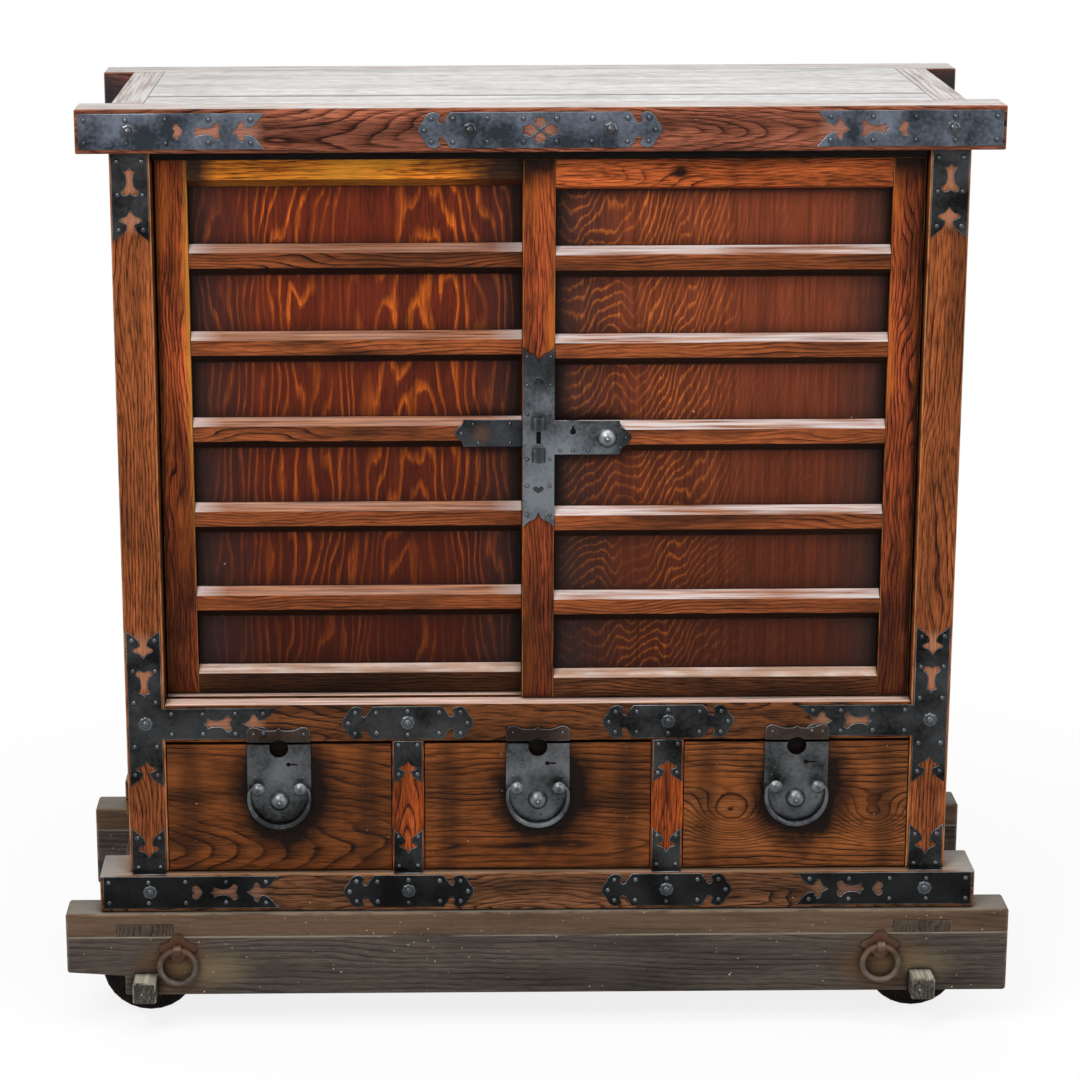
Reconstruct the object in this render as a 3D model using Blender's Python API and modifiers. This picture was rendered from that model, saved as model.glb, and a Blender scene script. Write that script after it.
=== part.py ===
"""Wheeled tansu chest: a timber case with two sliding doors and three drawers, standing on two beams
that carry two wooden axles and four wooden wheels.

Metres, +Z up. The front faces -Y. The origin is on the ground under the middle of the chest."""

import math

import bmesh
import bpy
from mathutils import Matrix, Vector

# Fits
TOUCH = 0.0003  # between faces that rest on or against each other
SLIDE = 0.0015  # at each side of a drawer or at the end of a door
OVERCUT = 0.010  # how far a cutter runs past the face it opens
EMBED = 0.001  # how deep a fitting is let into the plate that it is forged to

# Undercarriage
WHEEL_RADIUS = 0.064
WHEEL_THICKNESS = 0.045
WHEEL_ROUNDING = 0.006
HUB_RADIUS = 0.032
HUB_PROUD = 0.003
HUB_END_PLAY = 0.0015
WHEEL_HEADROOM = 0.003  # between a wheel's top and the cross member over it
JOURNAL_RADIUS = 0.014
AXLE_FROM_LEFT = 0.105  # middle of each axle from the end of the beams beside it
AXLE_FROM_RIGHT = 0.116
AXLE_WIDTH = 0.031
AXLE_HEIGHT = 0.030
AXLE_MIDDLE = 0.040
AXLE_PROUD = 0.033  # square ends ahead of the beams
AXLE_BEVEL = 0.002
BEAM_OVERHANG = 0.087  # of the beams past the posts at each end
BEAM_HEIGHT = 0.117
BEAM_THICKNESS = 0.056
BEAM_PROUD = 0.018  # ahead of the posts
BEAM_BELOW_AXLE = 0.016
BEAM_BEVEL = 0.004
SPLIT_STOP = 0.012  # wood left beside the axle where the front beam's lower left end is split off
SPLIT_HEIGHT = 0.034
SPLIT_SLOPE = 0.006
CROSS_WIDTH = 0.090
TENON_WIDTH = 0.076
TENON_HEIGHT = 0.016
TENON_BELOW_TOP = 0.016

# Pull rings on the front beam
RING_GAP_LEFT = 0.0005  # from each ring to the axle end beside it
RING_GAP_RIGHT = 0.0117
RING_RADIUS = 0.0239
RING_WIRE = 0.0039
RING_PIVOT_BELOW_TOP = 0.049  # under the top of the beam
RING_PLATE_WIDTH = 0.052
RING_PLATE_HEIGHT = 0.040
RING_PLATE_LOBE = 0.004
RING_PLATE_LOBES = 4
RING_PLATE_THICKNESS = 0.002
STAPLE_WIDTH = 0.010
STAPLE_WALL = 0.0025
STAPLE_PLAY = 0.0011

# Case frame
CASE_WIDTH = 1.084  # over the posts
CASE_HEIGHT = 0.961  # from the base rails to the top rails
CASE_DEPTH = 0.432
POST_WIDTH = 0.051
POST_DEPTH = 0.052
BASE_OVERHANG = 0.040  # of the base rails past the posts at each end
BASE_HEIGHT = 0.052
BASE_DEPTH = 0.078
BASE_PROUD = 0.012
TOP_OVERHANG = 0.0405  # of the top rails past the posts at each end
TOP_HEIGHT = 0.056
TOP_DEPTH = 0.063
TOP_PROUD = 0.014
TOP_BOARD = 0.018
TOP_FRONT_BOARD = 0.070  # width of the narrow board behind the front rail
TOP_LAP = 0.009
DRAWER_OPENING = 0.182
MIDDLE_HEIGHT = 0.051
FRAME_BEVEL = 0.0015

# Boards
BOARD = 0.014  # deck, floor, side and back boards
DECK_PROUD = 0.002  # deck above the base rails, which drawers run on
DECK_LAP = 0.010
FLOOR_DROP = 0.004  # cabinet floor under the sill
FLOOR_LAP = 0.007
PANEL_SETBACK = 0.012  # side and back boards behind the posts' outer faces
SIDE_FOOT = 0.020  # side foot rail above the base rails
LEDGE_HEIGHT = 0.020
GUIDE_HEIGHT = 0.026
DIVIDER_WIDTH = 0.042
DIVIDER_OFFSET = 0.1715  # from the middle of the chest to the middle of a divider
PARTITION_BOARD = 0.014

# Sliding doors
DOOR_SETBACK = 0.022
DOOR_THICKNESS = 0.024
DOOR_GAP = 0.004
DOOR_PLAY = 0.0013
TRACK_BACK = 0.010  # track wood behind the rear door
TRACK_PLAY = 0.0005
HEAD_SETBACK = 0.014
HEAD_HEIGHT = 0.012
HEAD_GROOVE = 0.009
SILL_GROOVE = 0.004
TONGUE = 0.010
STILE_WIDTH = 0.041
DOOR_TOP_FACE = 0.029
DOOR_BOTTOM_FACE = 0.027
BATTENS = 5
BATTEN_FACE = 0.020
SPLAY = 0.010
SPLAY_RIGHT_TOP = 0.003  # the right door's top rail has a slight splay only
SPLAY_LIP = 0.002
LOWEST_PANEL_LESS = 0.007  # the lowest panel is this much shorter than the others
DOOR_PANEL = 0.006
DOOR_PANEL_LAP = 0.006

# Door lock
LOCK_BATTEN = 2  # counted from the top, from 0
LOCK_PLATE = 0.002
LOCK_HEIGHT = 0.240
LOCK_NOTCH = 0.021
LOCK_ARM_LENGTH = 0.100
LOCK_ARM_HEIGHT = 0.044
LOCK_ARM_POINT = 0.016
LOCK_BOSS_FROM_TIP = 0.032
KEYHOLE_FROM_STILE = 0.024
KEYHOLE_RADIUS = 0.004
KEYHOLE_ABOVE = 0.008
KEYHOLE_SLOT = 0.003
BOLT_SLOT_WIDTH = 0.006
BOLT_SLOT_HEIGHT = 0.016
HASP_RADIUS = 0.009
HASP_BORE = 0.006
HASP_HEIGHT = 0.018
HASP_SPREAD = 0.021  # of each hasp from the middle of the slot
CATCH_LENGTH = 0.088  # of the left door's arm, up to the right door's stile
CATCH_HEIGHT = 0.036
CATCH_PLATE = 0.0015
CATCH_HIDDEN = 0.024  # its run behind the right door's stile
CATCH_POINT = 0.012

# Drawers
DRAWER_TOP_GAP = 0.004
DRAWER_FRONT = 0.020
DRAWER_SETBACK = 0.001
DRAWER_SIDE = 0.009
DRAWER_BOTTOM = 0.007
DRAWER_BACK_GAP = 0.014
DRAWER_BOX_DROP = 0.012  # sides under the top of the front
FINGER_RADIUS = 0.0128
FINGER_DROP = 0.005
FINGER_DEPTH = 0.010

# Drawer lock plates and bails
PLATE = 0.002
PLATE_WIDTH = 0.084
PLATE_STRAIGHT = 0.060
PLATE_HEIGHT = 0.108
BAIL_DROP = 0.058  # pivot under the top of the plate
BAIL_SPACING = 0.0555
BAIL_AHEAD = 0.0075  # pivot ahead of the plate
BAIL_FLARE = 0.0034  # middle of the wire outside the posts' heads
BAIL_BOW_DROP = 0.013
BAIL_WIRE = 0.0042
BAIL_END = 0.0022
BAIL_TIP = 0.007  # run of the wire past the middle of each post
BAIL_SHOULDER = 0.0003  # straight wire outside each post, before it turns down
POST_NECK = 0.0048
POST_HEAD = 0.0090
POST_REACH = 0.0195
POST_HEAD_HEIGHT = 0.0078
BOSS_DROP = 0.078
BOSS_RADIUS = 0.0134
BOSS_HEIGHT = 0.011
BOSS_TIP_RADIUS = 0.0036
BOSS_TIP_HEIGHT = 0.0045
DRAWER_KEY_ASIDE = 0.0125  # keyhole to the right of the plate's middle
DRAWER_KEY_DROP = 0.0275  # and under its top
DRAWER_KEY_RADIUS = 0.003
DRAWER_KEY_REACH = 0.012  # of its slot from the middle of the hole
DRAWER_KEY_SLOT = 0.0022

# Shares of the half width and of the depth that shape the hollows and cusps of a plate's end
TAIL_HOLLOW = (0.72, 0.42)
TAIL_CUSP = (0.36, 0.50)
TAIL_THROAT = (0.12, 0.58)
POINT_HOLLOW = (0.55, 0.15)
POINT_CUSP = (0.48, 0.50)
POINT_THROAT = (0.36, 0.70)
# Shares of its radius and of its height that round a bail post's head, from the crown down
HEAD_CURVE = ((0.6, 0.8), (1.0, 0.3), (0.9, 0.0))

# Smoothness of round shapes, in steps
WHEEL_STEPS = 28
IRON_STEPS = 16
RING_STEPS = 28
WIRE_STEPS = 8
BOW_STEPS = 22
FOOT_STEPS = 18
HOLLOW_STEPS = 4
ROUNDING_STEPS = 2

# Levels, from the ground up
AXLE_Z = WHEEL_RADIUS
BEAM_LOW = AXLE_Z - BEAM_BELOW_AXLE
BEAM_HIGH = BEAM_LOW + BEAM_HEIGHT
BASE_LOW = BEAM_HIGH + TOUCH
BASE_HIGH = BASE_LOW + BASE_HEIGHT
DECK_HIGH = BASE_HIGH + DECK_PROUD
DRAWER_HEAD = BASE_HIGH + DRAWER_OPENING
SILL = DRAWER_HEAD + MIDDLE_HEIGHT
FLOOR_HIGH = SILL - FLOOR_DROP
POST_LOW = BASE_HIGH + TOUCH
POST_HIGH = BASE_HIGH + CASE_HEIGHT
TOP_LOW = POST_HIGH + TOUCH
TOP_HIGH = TOP_LOW + TOP_HEIGHT
HEAD_LOW = POST_HIGH - HEAD_HEIGHT

# Planes
FRONT = -CASE_DEPTH / 2
BACK = CASE_DEPTH / 2
POST_OUT = CASE_WIDTH / 2
POST_IN = POST_OUT - POST_WIDTH
BEAM_END = POST_OUT + BEAM_OVERHANG
BASE_END = POST_OUT + BASE_OVERHANG
TOP_END = POST_OUT + TOP_OVERHANG
SIDE_IN = POST_OUT - PANEL_SETBACK - BOARD  # inner face of the side boards
BACK_IN = BACK - PANEL_SETBACK - BOARD
BEAM_FRONT = FRONT - BEAM_PROUD
BEAM_INNER = BEAM_FRONT + BEAM_THICKNESS
BASE_INNER = FRONT - BASE_PROUD + BASE_DEPTH
TOP_INNER = FRONT - TOP_PROUD + TOP_DEPTH
RIGHT_DOOR = FRONT + DOOR_SETBACK
LEFT_DOOR = RIGHT_DOOR + DOOR_THICKNESS + DOOR_GAP
TRACK_END = LEFT_DOOR + DOOR_THICKNESS + TRACK_BACK
DOOR_LOW = SILL + DOOR_PLAY
DOOR_HIGH = HEAD_LOW - DOOR_PLAY
DOOR_EDGE = POST_IN - SLIDE
DRAWER_FACE = FRONT + DRAWER_SETBACK
DRAWER_TOP = DRAWER_HEAD - DRAWER_TOP_GAP
DRAWER_LOW = DECK_HIGH + TOUCH
AXLE_LEFT = AXLE_FROM_LEFT - BEAM_END
AXLE_RIGHT = BEAM_END - AXLE_FROM_RIGHT
BAIL_BOW = BAIL_SPACING / 2 + POST_HEAD + BAIL_FLARE

# An outline drawn in (y, z) is thick along X; one drawn in (x, z) is thick towards the front
ALONG_X = Matrix(((0, 0, 1), (1, 0, 0), (0, 1, 0)))
TO_FRONT = Matrix(((1, 0, 0), (0, 0, -1), (0, 1, 0)))
TO_BACK = Matrix(((-1, 0, 0), (0, 0, 1), (0, 1, 0)))
UPRIGHT = Matrix.Identity(3)


def start():
    for obj in list(bpy.data.objects):
        bpy.data.objects.remove(obj, do_unlink=True)
    for name in ("wheeled_tansu", "cutters"):
        collection = bpy.data.collections.new(name)
        bpy.context.scene.collection.children.link(collection)
    return bpy.data.collections["wheeled_tansu"], bpy.data.collections["cutters"]


PARTS, CUTTERS = start()


def finish(name, colour, roughness, metallic=0.0):
    material = bpy.data.materials.new(name)
    material.use_nodes = True
    shader = material.node_tree.nodes["Principled BSDF"]
    shader.inputs["Base Color"].default_value = (*colour, 1.0)
    shader.inputs["Roughness"].default_value = roughness
    shader.inputs["Metallic"].default_value = metallic
    return material


FRAME_WOOD = finish("frame_wood", (0.14, 0.045, 0.018), 0.45)
DOOR_WOOD = finish("door_wood", (0.20, 0.065, 0.018), 0.42)
PANEL_WOOD = finish("panel_wood", (0.09, 0.022, 0.010), 0.40)
BOARD_WOOD = finish("board_wood", (0.22, 0.13, 0.075), 0.65)
TOP_WOOD = finish("top_wood", (0.24, 0.17, 0.13), 0.50)
BEAM_WOOD = finish("beam_wood", (0.075, 0.055, 0.040), 0.80)
WHEEL_WOOD = finish("wheel_wood", (0.030, 0.025, 0.022), 0.85)
IRON = finish("black_iron", (0.040, 0.042, 0.046), 0.50, 0.8)
RUSTY_IRON = finish("rusty_iron", (0.10, 0.060, 0.042), 0.75, 0.5)


def holder(name, place, parent=None):
    empty = bpy.data.objects.new(name, None)
    empty.empty_display_size = 0.05
    empty.parent = parent
    empty.location = Vector(place) - (world_place(parent) if parent else Vector())
    PARTS.objects.link(empty)
    return empty


def world_place(obj):
    place = Vector(obj.location)
    while obj.parent:
        obj = obj.parent
        place += obj.location
    return place


def add(name, mesh, place, material=None, body=None, turn=UPRIGHT):
    """A part of the chest when it has a material, and otherwise a cutter or a piece to be joined."""
    obj = bpy.data.objects.new(name, mesh)
    obj.rotation_euler = turn.to_euler()
    obj.location = Vector(place)
    if material:
        mesh.materials.clear()
        mesh.materials.append(material)
        obj.parent = body or CHEST
        obj.location = Vector(place) - world_place(obj.parent)
        PARTS.objects.link(obj)
    else:
        obj.hide_render = True
        obj.display_type = "WIRE"
        CUTTERS.objects.link(obj)
    return obj


def box(name, low, high, material=None, body=None, bevel=0.0):
    low, high = Vector(low), Vector(high)
    mesh = bpy.data.meshes.new(name)
    shape = bmesh.new()
    bmesh.ops.create_cube(shape, size=1.0)
    bmesh.ops.scale(shape, vec=high - low, verts=shape.verts)
    shape.to_mesh(mesh)
    shape.free()
    obj = add(name, mesh, (low + high) / 2, material, body)
    if bevel:
        rounded(obj, bevel)
    return obj


def rounded(obj, width, segments=1):
    modifier = obj.modifiers.new("worn edges", "BEVEL")
    modifier.width = width
    modifier.segments = segments
    modifier.limit_method = "ANGLE"


def prism(name, outline, thickness, place, turn, material=None, body=None):
    """A flat outline given a thickness, half to each side of its plane, as one closed mesh."""
    curve = bpy.data.curves.new(name, "CURVE")
    curve.dimensions = "2D"
    curve.fill_mode = "BOTH"
    curve.extrude = thickness / 2
    spline = curve.splines.new("POLY")
    spline.points.add(len(outline) - 1)
    for point, (across, up) in zip(spline.points, outline):
        point.co = (across, up, 0.0, 1.0)
    spline.use_cyclic_u = True
    drawn = bpy.data.objects.new(name + "_outline", curve)
    CUTTERS.objects.link(drawn)
    bpy.context.view_layer.update()
    graph = bpy.context.evaluated_depsgraph_get()
    mesh = bpy.data.meshes.new_from_object(drawn.evaluated_get(graph))
    bpy.data.objects.remove(drawn, do_unlink=True)
    shape = bmesh.new()
    shape.from_mesh(mesh)
    bmesh.ops.remove_doubles(shape, verts=shape.verts, dist=1e-6)
    bmesh.ops.recalc_face_normals(shape, faces=shape.faces)
    shape.to_mesh(mesh)
    shape.free()
    return add(name, mesh, place, material, body, turn)


def bar_x(name, outline, low, high, material, body=None):
    """A bar whose section, in (y, z), is the same from X low to X high."""
    return prism(name, outline, high - low, ((low + high) / 2, 0.0, 0.0), ALONG_X, material, body)


def turned(name, profile, steps, place, turn, material=None, body=None):
    """A shape turned round the local Z axis. The profile, in (radius, height), runs down its outer side."""
    mesh = bpy.data.meshes.new(name)
    shape = bmesh.new()
    points = [shape.verts.new((radius, 0.0, height)) for radius, height in profile]
    for first, second in zip(points, points[1:]):
        shape.edges.new((first, second))
    if profile[0][0] > 0.0:
        shape.edges.new((points[-1], points[0]))
    shape.to_mesh(mesh)
    shape.free()
    obj = add(name, mesh, place, material, body, turn)
    screw = obj.modifiers.new("turned", "SCREW")
    screw.steps = steps
    screw.render_steps = steps
    screw.use_merge_vertices = True
    screw.merge_threshold = 1e-5
    return obj


def combine(target, tool, operation):
    modifier = target.modifiers.new(f"{operation.lower()} {tool.name}", "BOOLEAN")
    modifier.operation = operation
    modifier.object = tool


def cut(target, tool):
    combine(target, tool, "DIFFERENCE")


def join(target, tool):
    combine(target, tool, "UNION")


def sides():
    """The two sides of the chest, as a name and the sign of X."""
    return ("left", -1), ("right", 1)


def span(sign, near, far):
    """X limits, lowest first, of what reaches from near to far on one side."""
    return min(sign * near, sign * far), max(sign * near, sign * far)


def arc(centre, radius, first, last, steps):
    """Points of a circle, or of an ellipse where radius is a pair, between two angles in degrees."""
    across, up = radius if isinstance(radius, tuple) else (radius, radius)
    points = []
    for step in range(steps + 1):
        angle = math.radians(first + (last - first) * step / steps)
        points.append((centre[0] + across * math.cos(angle), centre[1] + up * math.sin(angle)))
    return points


def bend(first, control, last, steps):
    """Points of a quadratic curve, without its last point."""
    points = []
    for step in range(steps):
        t = step / steps
        weights = ((1 - t) ** 2, 2 * t * (1 - t), t * t)
        points.append(tuple(sum(w * p[i] for w, p in zip(weights, (first, control, last))) for i in (0, 1)))
    return points


CHEST = holder("chest", (0.0, 0.0, 0.0))


# Undercarriage

def beam(name, outer, inner):
    low, high = sorted((outer, inner))
    obj = box(name, (-BEAM_END, low, BEAM_LOW), (BEAM_END, high, BEAM_HIGH), BEAM_WOOD)
    rounded(obj, BEAM_BEVEL, ROUNDING_STEPS)
    for side, x in (("left", AXLE_LEFT), ("right", AXLE_RIGHT)):
        half = AXLE_WIDTH / 2 + TOUCH
        notch = box(
            f"{name}_{side}_axle_notch",
            (x - half, low - OVERCUT, BEAM_LOW - OVERCUT),
            (x + half, high + OVERCUT, AXLE_Z + AXLE_HEIGHT / 2 + TOUCH),
        )
        cut(obj, notch)
        half = TENON_WIDTH / 2 + TOUCH
        top = BEAM_HIGH - TENON_BELOW_TOP
        mortise = box(
            f"{name}_{side}_mortise",
            (x - half, low - OVERCUT, top - TENON_HEIGHT - TOUCH),
            (x + half, high + OVERCUT, top + TOUCH),
        )
        cut(obj, mortise)
    return obj


def split_end(obj):
    """Takes the broken wood off the lower left end of the front beam, along a sloping crack."""
    left, right = -BEAM_END - OVERCUT, AXLE_LEFT - AXLE_WIDTH / 2 - SPLIT_STOP
    crack = BEAM_LOW + SPLIT_HEIGHT
    outline = [
        (left, BEAM_LOW - OVERCUT),
        (right, BEAM_LOW - OVERCUT),
        (right, crack - SPLIT_SLOPE),
        ((left + right) / 2, crack - SPLIT_SLOPE / 2),
        (left, crack),
    ]
    middle = (BEAM_FRONT + BEAM_INNER) / 2
    thickness = BEAM_THICKNESS + 2 * OVERCUT
    cut(obj, prism("front_beam_split", outline, thickness, (0.0, middle, 0.0), TO_FRONT))


def cross_member(side, x):
    inner = -BEAM_INNER - TOUCH
    low = 2 * WHEEL_RADIUS + WHEEL_HEADROOM
    half = CROSS_WIDTH / 2
    obj = box(
        f"cross_member_{side}", (x - half, -inner, low), (x + half, inner, BEAM_HIGH - TOUCH), BEAM_WOOD
    )
    top = BEAM_HIGH - TENON_BELOW_TOP
    half = TENON_WIDTH / 2
    tenon = box(
        f"cross_member_{side}_tenon", (x - half, BEAM_FRONT, top - TENON_HEIGHT), (x + half, -BEAM_FRONT, top)
    )
    join(obj, tenon)


def axle(side, x):
    tip = AXLE_PROUD - BEAM_FRONT
    shoulder = -BEAM_INNER - WHEEL_THICKNESS - 2 * HUB_PROUD - 2 * HUB_END_PLAY
    half = AXLE_MIDDLE / 2
    obj = box(
        f"axle_{side}",
        (x - half, -shoulder, AXLE_Z - half),
        (x + half, shoulder, AXLE_Z + half),
        BEAM_WOOD,
        bevel=AXLE_BEVEL,
    )
    profile = [(0.0, tip - OVERCUT), (JOURNAL_RADIUS, tip - OVERCUT)]
    profile += [(JOURNAL_RADIUS, OVERCUT - tip), (0.0, OVERCUT - tip)]
    join(obj, turned(f"axle_{side}_journal", profile, WHEEL_STEPS, (x, 0.0, AXLE_Z), TO_BACK))
    for end, low, high in (("front", -tip, BEAM_INNER), ("back", -BEAM_INNER, tip)):
        square = box(
            f"axle_{side}_{end}_square",
            (x - AXLE_WIDTH / 2, low, AXLE_Z - AXLE_HEIGHT / 2),
            (x + AXLE_WIDTH / 2, high, AXLE_Z + AXLE_HEIGHT / 2),
            bevel=AXLE_BEVEL,
        )
        join(obj, square)


def wheel(name, x, y):
    pivot = holder(name + "_pivot", (x, y, AXLE_Z), CHEST)
    rim, hub = WHEEL_THICKNESS / 2, WHEEL_THICKNESS / 2 + HUB_PROUD
    bore = JOURNAL_RADIUS + TOUCH
    shoulder = WHEEL_RADIUS - WHEEL_ROUNDING
    profile = [(bore, hub), (HUB_RADIUS, hub), (HUB_RADIUS + HUB_PROUD, rim)]
    profile += reversed(arc((shoulder, rim - WHEEL_ROUNDING), WHEEL_ROUNDING, 0, 90, ROUNDING_STEPS))
    profile += reversed(arc((shoulder, WHEEL_ROUNDING - rim), WHEEL_ROUNDING, -90, 0, ROUNDING_STEPS))
    profile += [(HUB_RADIUS + HUB_PROUD, -rim), (HUB_RADIUS, -hub), (bore, -hub)]
    turned(name, profile, WHEEL_STEPS, (x, y, AXLE_Z), TO_BACK, WHEEL_WOOD, pivot)


def pull_ring(side, x):
    """An iron ring that hangs in a bent strap staple on a lobed plate."""
    pivot_z = BEAM_HIGH - RING_PIVOT_BELOW_TOP
    inner = RING_WIRE + STAPLE_PLAY
    outer = inner + STAPLE_WALL
    face = BEAM_FRONT - TOUCH - RING_PLATE_THICKNESS
    pivot_y = face + EMBED - outer
    outline = []
    for step in range(RING_STEPS):
        angle = 2 * math.pi * step / RING_STEPS
        lobe = RING_PLATE_LOBE * math.cos(RING_PLATE_LOBES * angle)
        outline.append(
            (
                (RING_PLATE_WIDTH / 2 - RING_PLATE_LOBE + lobe) * math.cos(angle),
                (RING_PLATE_HEIGHT / 2 - RING_PLATE_LOBE + lobe) * math.sin(angle),
            )
        )
    place = (x, face + RING_PLATE_THICKNESS / 2, pivot_z)
    plate = prism(f"ring_staple_{side}", outline, RING_PLATE_THICKNESS, place, TO_FRONT, RUSTY_IRON)
    half = STAPLE_WIDTH / 2
    profile = [(inner, half), (outer, half), (outer, -half), (inner, -half)]
    join(plate, turned(f"ring_staple_{side}_eye", profile, RING_STEPS, (x, pivot_y, pivot_z), ALONG_X))
    pivot = holder(f"ring_pull_{side}_pivot", (x, pivot_y, pivot_z), CHEST)
    bpy.ops.mesh.primitive_torus_add(
        major_radius=RING_RADIUS,
        minor_radius=RING_WIRE,
        major_segments=RING_STEPS,
        minor_segments=WIRE_STEPS,
    )
    drawn = bpy.context.object
    mesh = drawn.data
    bpy.data.objects.remove(drawn, do_unlink=True)
    place = (x, pivot_y, pivot_z - RING_RADIUS)
    add(f"ring_pull_{side}", mesh, place, RUSTY_IRON, pivot, TO_FRONT)


def undercarriage():
    split_end(beam("front_beam", BEAM_FRONT, BEAM_INNER))
    beam("back_beam", -BEAM_FRONT, -BEAM_INNER)
    wheel_y = -BEAM_INNER - HUB_END_PLAY - HUB_PROUD - WHEEL_THICKNESS / 2
    for side, x in (("left", AXLE_LEFT), ("right", AXLE_RIGHT)):
        cross_member(side, x)
        axle(side, x)
        wheel(f"front_wheel_{side}", x, -wheel_y)
        wheel(f"back_wheel_{side}", x, wheel_y)
    reach = AXLE_WIDTH / 2 + RING_RADIUS + RING_WIRE
    pull_ring("left", AXLE_LEFT + reach + RING_GAP_LEFT)
    pull_ring("right", AXLE_RIGHT - reach - RING_GAP_RIGHT)


# Case

def notch_round_posts(board, name):
    inner = FRONT + POST_DEPTH + TOUCH
    for side, sign in sides():
        left, right = span(sign, POST_IN - TOUCH, POST_OUT + OVERCUT)
        for end, near, far in (("front", FRONT - OVERCUT, inner), ("back", -inner, BACK + OVERCUT)):
            corner = box(f"{name}_{end}_{side}_corner", (left, near, BASE_LOW), (right, far, POST_HIGH))
            cut(board, corner)


def base_rails():
    lap = BASE_INNER - DECK_LAP
    seat = box(
        "deck_seat",
        (-SIDE_IN, lap - TOUCH, DECK_HIGH - BOARD - TOUCH),
        (SIDE_IN, -lap + TOUCH, DECK_HIGH + OVERCUT),
    )
    for name, turn in (("base_front_rail", 1), ("base_back_rail", -1)):
        low, high = sorted((turn * (FRONT - BASE_PROUD), turn * BASE_INNER))
        rail = box(
            name,
            (-BASE_END, low, BASE_LOW),
            (BASE_END, high, BASE_HIGH),
            FRAME_WOOD,
            bevel=FRAME_BEVEL,
        )
        cut(rail, seat)
    inset = SIDE_IN - TOUCH
    deck = box("drawer_deck", (-inset, lap, DECK_HIGH - BOARD), (inset, -lap, DECK_HIGH), BOARD_WOOD)
    notch_round_posts(deck, "deck")


def posts():
    for side, sign in sides():
        low, high = span(sign, POST_IN, POST_OUT)
        for name, near, far in (
            ("front", FRONT, FRONT + POST_DEPTH),
            ("back", BACK - POST_DEPTH, BACK),
        ):
            box(
                f"{name}_post_{side}",
                (low, near, POST_LOW),
                (high, far, POST_HIGH),
                FRAME_WOOD,
                bevel=FRAME_BEVEL,
            )


def top():
    lap = TOP_INNER - TOP_LAP
    half = POST_IN + TOP_LAP
    seat = box("top_board_seat", (-half, lap, TOP_HIGH - TOP_BOARD), (half, -lap, TOP_HIGH + OVERCUT))
    for name, turn in (("top_front_rail", 1), ("top_back_rail", -1)):
        low, high = sorted((turn * (FRONT - TOP_PROUD), turn * TOP_INNER))
        rail = box(
            name,
            (-TOP_END, low, TOP_LOW),
            (TOP_END, high, TOP_HIGH),
            FRAME_WOOD,
            bevel=FRAME_BEVEL,
        )
        cut(rail, seat)
    for side, sign in sides():
        low, high = span(sign, POST_IN, POST_OUT)
        near = TOP_INNER + TOUCH
        rail = box(
            f"top_end_rail_{side}",
            (low, near, TOP_LOW),
            (high, -near, TOP_HIGH),
            FRAME_WOOD,
            bevel=FRAME_BEVEL,
        )
        cut(rail, seat)
    half -= TOUCH
    seam = lap + TOUCH + TOP_FRONT_BOARD
    bottom = TOP_HIGH - TOP_BOARD + TOUCH
    box("top_board_front", (-half, lap + TOUCH, bottom), (half, seam, TOP_HIGH), TOP_WOOD)
    box("top_board_rear", (-half, seam + TOUCH, bottom), (half, -lap - TOUCH, TOP_HIGH), TOP_WOOD)


def track_grooves(level, depth):
    """For each door, from the front, the corners of the groove that opens at a level, in (y, z)."""
    half = TONGUE / 2 + TRACK_PLAY
    corners = []
    for face in (RIGHT_DOOR, LEFT_DOOR):
        middle = face + DOOR_THICKNESS / 2
        near, far = middle - half, middle + half
        corners += [(near, level), (near, level + depth), (far, level + depth), (far, level)]
    return corners


def door_tracks():
    half = POST_IN - TOUCH
    rebate = FLOOR_HIGH - BOARD - TOUCH
    outline = [(FRONT, DRAWER_HEAD), (FRONT, SILL)]
    outline += track_grooves(SILL, -SILL_GROOVE)
    outline += [(TRACK_END - FLOOR_LAP, SILL), (TRACK_END - FLOOR_LAP, rebate), (TRACK_END, rebate)]
    outline += [(TRACK_END, DRAWER_HEAD)]
    bar_x("middle_rail", outline, -half, half, FRAME_WOOD)
    outline = [(FRONT + HEAD_SETBACK, POST_HIGH), (FRONT + HEAD_SETBACK, HEAD_LOW)]
    outline += track_grooves(HEAD_LOW, HEAD_GROOVE)
    outline += [(TRACK_END, HEAD_LOW), (TRACK_END, POST_HIGH)]
    bar_x("door_head_rail", outline, -half, half, FRAME_WOOD)


def cabinet_floor():
    half = SIDE_IN - TOUCH
    low = FLOOR_HIGH - BOARD
    near = TRACK_END - FLOOR_LAP + TOUCH
    floor = box("cabinet_floor", (-half, near, low), (half, BACK_IN - TOUCH, FLOOR_HIGH), BOARD_WOOD)
    notch_round_posts(floor, "floor")


def partition(side, sign):
    """A divider in the front, with a thin board behind it on a guide rail as wide as the divider."""
    x = sign * DIVIDER_OFFSET
    half = DIVIDER_WIDTH / 2
    deck_edge = BASE_INNER - DECK_LAP - 2 * TOUCH
    divider = box(
        f"drawer_partition_{side}",
        (x - half, FRONT, BASE_HIGH + TOUCH),
        (x + half, deck_edge, DRAWER_HEAD - TOUCH),
        FRAME_WOOD,
    )
    near, end = deck_edge - EMBED, BACK_IN - TOUCH
    low, high = DECK_HIGH + TOUCH, FLOOR_HIGH - BOARD - TOUCH
    outline = [(near, low + EMBED), (end, low + EMBED), (end, high), (TRACK_END + TOUCH, high)]
    outline += [(TRACK_END + TOUCH, DRAWER_HEAD - EMBED), (near, DRAWER_HEAD - EMBED)]
    join(divider, prism(f"partition_{side}_board", outline, PARTITION_BOARD, (x, 0.0, 0.0), ALONG_X))
    inset = half - TOUCH
    guide = box(
        f"partition_{side}_guide",
        (x - inset, near, low),
        (x + inset, end - EMBED, low + GUIDE_HEIGHT),
    )
    join(divider, guide)


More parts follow.
